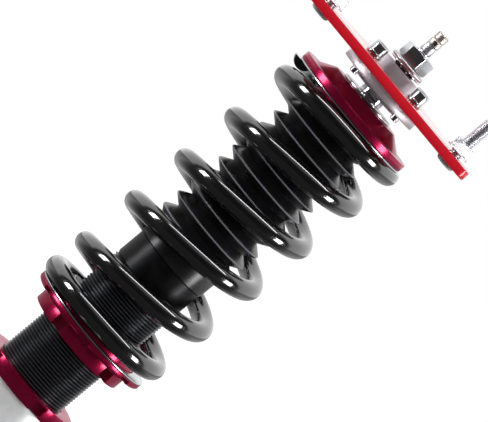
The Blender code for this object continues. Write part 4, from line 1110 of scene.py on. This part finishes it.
def damper_body():
    """The threaded tube. Its plain end is turned to a little under the thread's crest."""
    low, high, crest = span("damper_body")
    bore = 22.2 * MM
    pitch = 2.0 * MM
    root = crest - 1.20 * MM
    plain = 18.6 * MM
    plain_radius = crest - 0.4 * MM
    profile = [
        (bore, high),
        (plain_radius - 0.5 * MM, high),
        (plain_radius, high - 0.5 * MM),
        (plain_radius, high - plain),
        (root, high - plain - 1.4 * MM),
        (root, low + 0.6 * MM),
        (root - 0.6 * MM, low),
        (bore, low),
    ]
    body = turn_on_lathe("damper_body_turned", thread_finish, profile, 128)
    ridge = wind_thread(root, crest, pitch, low + 0.3 * MM, high - plain - 0.4 * MM, thread_finish, 96)
    join(body, ridge)
    stand_for(soften(body, 0, angle=25.0), "damper_body")


def piston_rod():
    low, high, radius = span("piston_rod")
    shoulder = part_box("rod_step_washer")[0].z - GAP
    thread_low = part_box("top_washer")[1].z
    socket = 3.2 * MM
    socket_low = high - 6.3 * MM
    root = ROD_END_RADIUS - 0.68 * MM
    piston_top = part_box("rebound_shims")[1].z + GAP
    profile = [
        (socket, high),
        (root - 0.4 * MM, high),
        (root, high - 0.6 * MM),
        (root, thread_low + 0.6 * MM),
        (ROD_END_RADIUS, thread_low),
        (ROD_END_RADIUS, shoulder),
        (radius - 0.5 * MM, shoulder),
        (radius, shoulder - 0.5 * MM),
        (radius, piston_top),
        (ROD_END_RADIUS, piston_top),
        (ROD_END_RADIUS, low),
        (NEEDLE_BORE, low),
        (NEEDLE_BORE, socket_low),
        (socket, socket_low),
    ]
    rod = turn_on_lathe("piston_rod_ground", chrome_finish, profile)
    pitch = 1.25 * MM
    bottom = thread_low + 0.2 * MM
    join(rod, wind_thread(root, ROD_END_RADIUS, pitch, bottom, high - 0.2 * MM, chrome_finish, 48))
    stand_for(soften(rod, 0), "piston_rod")


def rib_height(share, rounding=0.09):
    """Height of a rib above its valley, across one pitch: straight flanks that meet in a rounded crest."""
    away = abs(2 * share - 1)
    return 1 - 0.97 * (math.hypot(away, rounding) - rounding) - 0.03 * away ** 2


def dust_boot():
    """A bellows of pointed ribs. Its top cuff is held in the perch, so it is a piece of its own."""
    low, high, peak = span("dust_boot")
    cuff = BODY_FIT
    cuff_top = low + 14.0 * MM
    cuff_lip = 0.6 * MM
    valley = 22.6 * MM
    ribs = 11
    held_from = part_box("upper_spring_perch")[0].z - GAP
    top_radius = 22.3 * MM
    pitch = (held_from - cuff_top) / ribs
    wall = 1.2 * MM
    points_per_rib = 20
    profile = [(top_radius, held_from)]
    for k in range(ribs * points_per_rib - 1, -1, -1):
        share = (k % points_per_rib) / points_per_rib
        floor = valley
        if k > (ribs - 0.5) * points_per_rib:
            floor = top_radius
        if k <= points_per_rib / 2:
            floor = cuff - cuff_lip
        radius = floor + (peak - floor) * rib_height(share)
        profile.append((radius, cuff_top + pitch * k / points_per_rib))
    profile += [(cuff, cuff_top - 0.8 * MM), (cuff, low)]
    profile += [(radius - wall, height) for radius, height in reversed(profile)]
    boot = turn_on_lathe("dust_boot_moulded", rubber_finish, profile, 128)
    stand_for(soften(boot, 0, angle=50.0), "dust_boot")
    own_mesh(boot)

    profile = [(top_radius, high), (top_radius, held_from + 0.05 * MM)]
    profile += [(radius - wall, height) for radius, height in reversed(profile)]
    held_cuff = turn_on_lathe("dust_boot_top_cuff", rubber_finish, profile, 128)
    soften(held_cuff, 0.2 * MM)
    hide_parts("dust_boot")
    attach(held_cuff, body_of["upper_spring_perch"])


def bump_stop():
    """A foam sleeve with two grooves round it and a tapered tip."""
    low, high, radius = span("bump_stop")
    bore = 9.3 * MM
    groove = 3.6 * MM
    taper = 1.5 * MM
    tip_from = 0.8
    tip_taper = 5.0 * MM
    steps = 48
    profile = [(bore, high)]
    for k in range(steps + 1):
        share = k / steps
        bead = abs(math.cos(share * math.pi * 2.5)) ** 0.6
        outer = radius - taper * share - tip_taper * max(share - tip_from, 0) / (1 - tip_from)
        outer -= groove * (1 - bead)
        profile.append((max(outer, bore + 1 * MM), high - (high - low) * share))
    profile.append((bore, low))
    lathe_piece("bump_stop", "moulded", foam_finish, profile)


def inner_pieces():
    """Seals, guide, piston, cap and the rest that stays hidden: the solids do, and get their finishes."""
    for node, shown in frame["nodes"].items():
        if not shown.hide_render:
            shown.data.materials.clear()
            shown.data.materials.append(finish_of(node))


# ----------------------------------------------------------------------
# Knuckle bracket
# ----------------------------------------------------------------------

def weld_bead(places, radius):
    """A bead laid in overlapping ripples: one flattened, leaning drop, copied along the seam."""
    bpy.ops.mesh.primitive_uv_sphere_add(segments=16, ring_count=10, radius=radius, enter_editmode=True)
    bpy.ops.transform.resize(value=(1.0, 0.85, 0.55))
    bpy.ops.transform.rotate(value=math.radians(20), orient_axis="X", center_override=(0, 0, 0))
    bpy.ops.object.mode_set(mode="OBJECT")
    drop = named("drop", bracket_finish)
    drops = [move_copy(drop, "bead", Matrix.Translation(place)) for place in places]
    bpy.data.objects.remove(drop)
    return join(*drops)


def knuckle_bracket():
    """A tube that screws onto the body, with two pressed ears welded along it and a web between them."""
    low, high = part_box("knuckle_bracket")
    cup = 31.0 * MM
    cup_low = high.z - 60.0 * MM
    profile = [(BODY_FIT, high.z), (cup, high.z), (cup, cup_low), (BODY_FIT, cup_low)]
    bracket = turn_on_lathe("knuckle_bracket_welded", bracket_finish, profile, 128)
    soften(bracket, 0.6 * MM)
    ear = 5.0 * MM
    ear_x = 19.5 * MM
    ear_top = high.z - 13.8 * MM
    ear_low = low.z
    ear_back = -24.5 * MM
    ear_root = -10.3 * MM
    edge = 0.5 * MM
    corners = [(ear_back, ear_top), (low.y, ear_top), (low.y, ear_low), (ear_back, ear_low)]
    outline = rounded(corners, 8.0 * MM)
    first_arc = len(outline) // 4
    top_corner = Vector((ear_root, ear_top))
    low_corner = Vector((ear_root, cup_low + 5 * MM))
    outline = [top_corner, *outline[first_arc:], low_corner]
    bolt_y = -48.0 * MM
    bolt_radius = 7.15 * MM
    bolt_heights = (ear_top - 17.5 * MM, ear_top - 77.5 * MM)
    bolts = [arc((bolt_y, height), bolt_radius, 0, 352, 44) for height in bolt_heights]
    upright = Matrix(((0, 0, 1, 0), (1, 0, 0, 0), (0, 1, 0, 0), (0, 0, 0, 1)))
    for side in (-1, 1):
        sheet = flat_bar("ear", bracket_finish, [outline, *bolts], ear, edge)
        sheet.data.transform(Matrix.Translation((side * ear_x, 0, 0)) @ upright)
        soften(sheet, 0)
        join(bracket, sheet)
    web_y = -29.5 * MM
    web_height = ear_top - ear_low - 16 * MM
    bpy.ops.mesh.primitive_cube_add(
        size=1, location=(0, web_y, (ear_top + ear_low) / 2), scale=(2 * ear_x, ear, web_height)
    )
    join(bracket, soften(settle(named("web", bracket_finish)), edge))
    ripples = 26
    bead = 2.2 * MM
    inset = 0.6 * MM
    seam = ear_top - cup_low - 6 * MM
    places = []
    for side in (-1, 1):
        for k in range(ripples):
            x = side * (ear_x + ear / 2)
            y = -math.sqrt(cup ** 2 - x ** 2)
            height = ear_top - 2 * MM - seam * k / (ripples - 1)
            places.append((x + side * inset, y - inset, height))
    join(bracket, weld_bead(places, bead))
    soften(bracket, 0)
    stand_for(bracket, "knuckle_bracket")


# ----------------------------------------------------------------------
# Studio
# ----------------------------------------------------------------------

def seen_by_camera(tree):
    """1 for a ray straight from the camera or through something clear, and 0 for any other."""
    rays = add_node(tree, "ShaderNodeLightPath")
    seen = add_node(
        tree,
        "ShaderNodeMath",
        {0: rays.outputs["Is Camera Ray"], 1: rays.outputs["Is Transmission Ray"]},
        operation="MAXIMUM",
    )
    return seen.outputs["Value"]


def fade(tree, way, start, end, low, high):
    """A level that goes smoothly from low to high between two places along a way."""
    faded = add_node(
        tree,
        "ShaderNodeMapRange",
        {"Value": way, "From Min": start, "From Max": end, "To Min": low, "To Max": high},
        interpolation_type="SMOOTHSTEP",
    )
    return faded.outputs["Result"]


def studio_world():
    """White to the camera. To the strut: bright behind and overhead, and dim on the camera's side."""
    world = bpy.data.worlds.new("studio")
    bpy.context.scene.world = world
    world.use_nodes = True
    tree = world.node_tree
    background = tree.nodes["Background"]
    background.inputs["Color"].default_value = grey(1.0)
    direction = add_node(tree, "ShaderNodeTexCoord").outputs["Generated"]
    way = add_node(tree, "ShaderNodeSeparateXYZ", {"Vector": direction})
    behind = fade(tree, way.outputs["Y"], 0.05, 0.25, 0.03, 1.0)
    overhead = fade(tree, way.outputs["Z"], 0.60, 0.85, 0.0, 0.35)
    level = add_node(tree, "ShaderNodeMath", {0: behind, 1: overhead}, operation="MAXIMUM")
    strength = add_node(
        tree, "ShaderNodeMath", {0: level.outputs["Value"], 1: seen_by_camera(tree)}, operation="MAXIMUM"
    )
    tree.links.new(strength.outputs["Value"], background.inputs["Strength"])


# The bracket can be screwed 15 mm down, and the strut can hang tilted, so the floor is kept below that.
FLOOR_DROP = 25 * MM


def pale_floor():
    """White to the camera apart from shadows. What it gives back to the strut fades towards the camera."""
    floor_width = 14.0
    paleness = 0.80
    own_glow = 0.60
    bpy.ops.mesh.primitive_plane_add(size=floor_width, location=(0, 0, cad_box[0].z - FLOOR_DROP))
    made, tree, shader, place = new_finish("pale_floor", Roughness=0.9, Specular_IOR_Level=0.1)
    way = add_node(tree, "ShaderNodeSeparateXYZ", {"Vector": place})
    seen = seen_by_camera(tree)
    level = fade(tree, way.outputs["Y"], 0.0, 0.6, 0.06, 0.75)
    level = add_node(tree, "ShaderNodeMath", {0: level, 1: seen}, operation="MAXIMUM")
    tone = add_node(tree, "ShaderNodeMath", {0: level.outputs["Value"], 1: paleness}, operation="MULTIPLY")
    glow = add_node(tree, "ShaderNodeMath", {0: seen, 1: own_glow}, operation="MULTIPLY")
    shader.inputs["Emission Color"].default_value = grey(1.0)
    tree.links.new(tone.outputs["Value"], shader.inputs["Base Color"])
    tree.links.new(glow.outputs["Value"], shader.inputs["Emission Strength"])
    settle(named("floor", made))


def softbox(name, azimuth, height, distance, width, tall, radiance, mirrored=True):
    """A lamp this many degrees round from the camera's side, turned to the strut's middle.

    One that isn't mirrored lights only what is matt, and leaves no image of itself in the gloss.
    """
    lamp = bpy.data.lights.new(name, "AREA")
    lamp.shape = "RECTANGLE"
    lamp.size = width
    lamp.size_y = tall
    lamp.energy = radiance * math.pi * width * tall
    place = Matrix.Rotation(math.radians(azimuth), 4, "Z") @ Vector((0, -distance, height))
    target = Vector((0, 0, -0.12))
    box = bpy.data.objects.new(name, lamp)
    bpy.context.scene.collection.objects.link(box)
    box.location = place
    box.rotation_mode = "QUATERNION"
    box.rotation_quaternion = (target - place).to_track_quat("-Z", "Y")
    box.visible_glossy = mirrored


def add_camera():
    """Long lens, a little above the strut's top end and rolled, so that the strut lies across the picture."""
    distance = 2.41
    target = Vector((0.0039, 0.0, -0.1171))
    eye_height = 0.085
    roll = math.radians(50.3)
    pixels_per_metre = 1701.0
    frame_width = 488.0
    depression = math.asin((eye_height - target.z) / distance)
    place = Vector((target.x, -distance * math.cos(depression), eye_height))
    looking = (target - place).normalized()
    right = looking.cross(Vector((0, 0, 1))).normalized()
    up = right.cross(looking)
    rolled_up = up * math.cos(roll) - right * math.sin(roll)
    rolled_right = right * math.cos(roll) + up * math.sin(roll)
    turn = Matrix((rolled_right, rolled_up, -looking)).transposed()
    data = bpy.data.cameras.new("camera")
    data.sensor_width = 36.0
    data.lens = data.sensor_width * pixels_per_metre * distance / frame_width
    data.clip_end = 30.0
    camera = bpy.data.objects.new("camera", data)
    bpy.context.scene.collection.objects.link(camera)
    camera.matrix_world = Matrix.Translation(place) @ turn.to_4x4()
    bpy.context.scene.camera = camera


camber_plate()
tower_studs()
tower_nuts()
bearing_housing()
housing_screws()
spherical_bearing()
rod_end_stack()
damping_adjuster()
upper_spring_perch()
coil_spring()
spring_seat()
lock_collar("lock_collar", -24.0)
lock_collar("lower_lock_ring", 27.0)
damper_body()
piston_rod()
dust_boot()
bump_stop()
knuckle_bracket()
inner_pieces()

studio_world()
pale_floor()
softbox("left_softbox", -72.0, height=0.0, distance=1.2, width=0.28, tall=0.60, radiance=13.0)
softbox("right_softbox", 76.0, height=0.0, distance=1.2, width=0.28, tall=0.60, radiance=13.0)
softbox("top_strip", 0.0, height=1.3, distance=0.25, width=2.2, tall=0.16, radiance=9.0)
softbox("front_fill", 10.0, height=0.5, distance=2.2, width=1.8, tall=1.8, radiance=2.6, mirrored=False)
add_camera()
bpy.context.scene.view_settings.view_transform = "Standard"
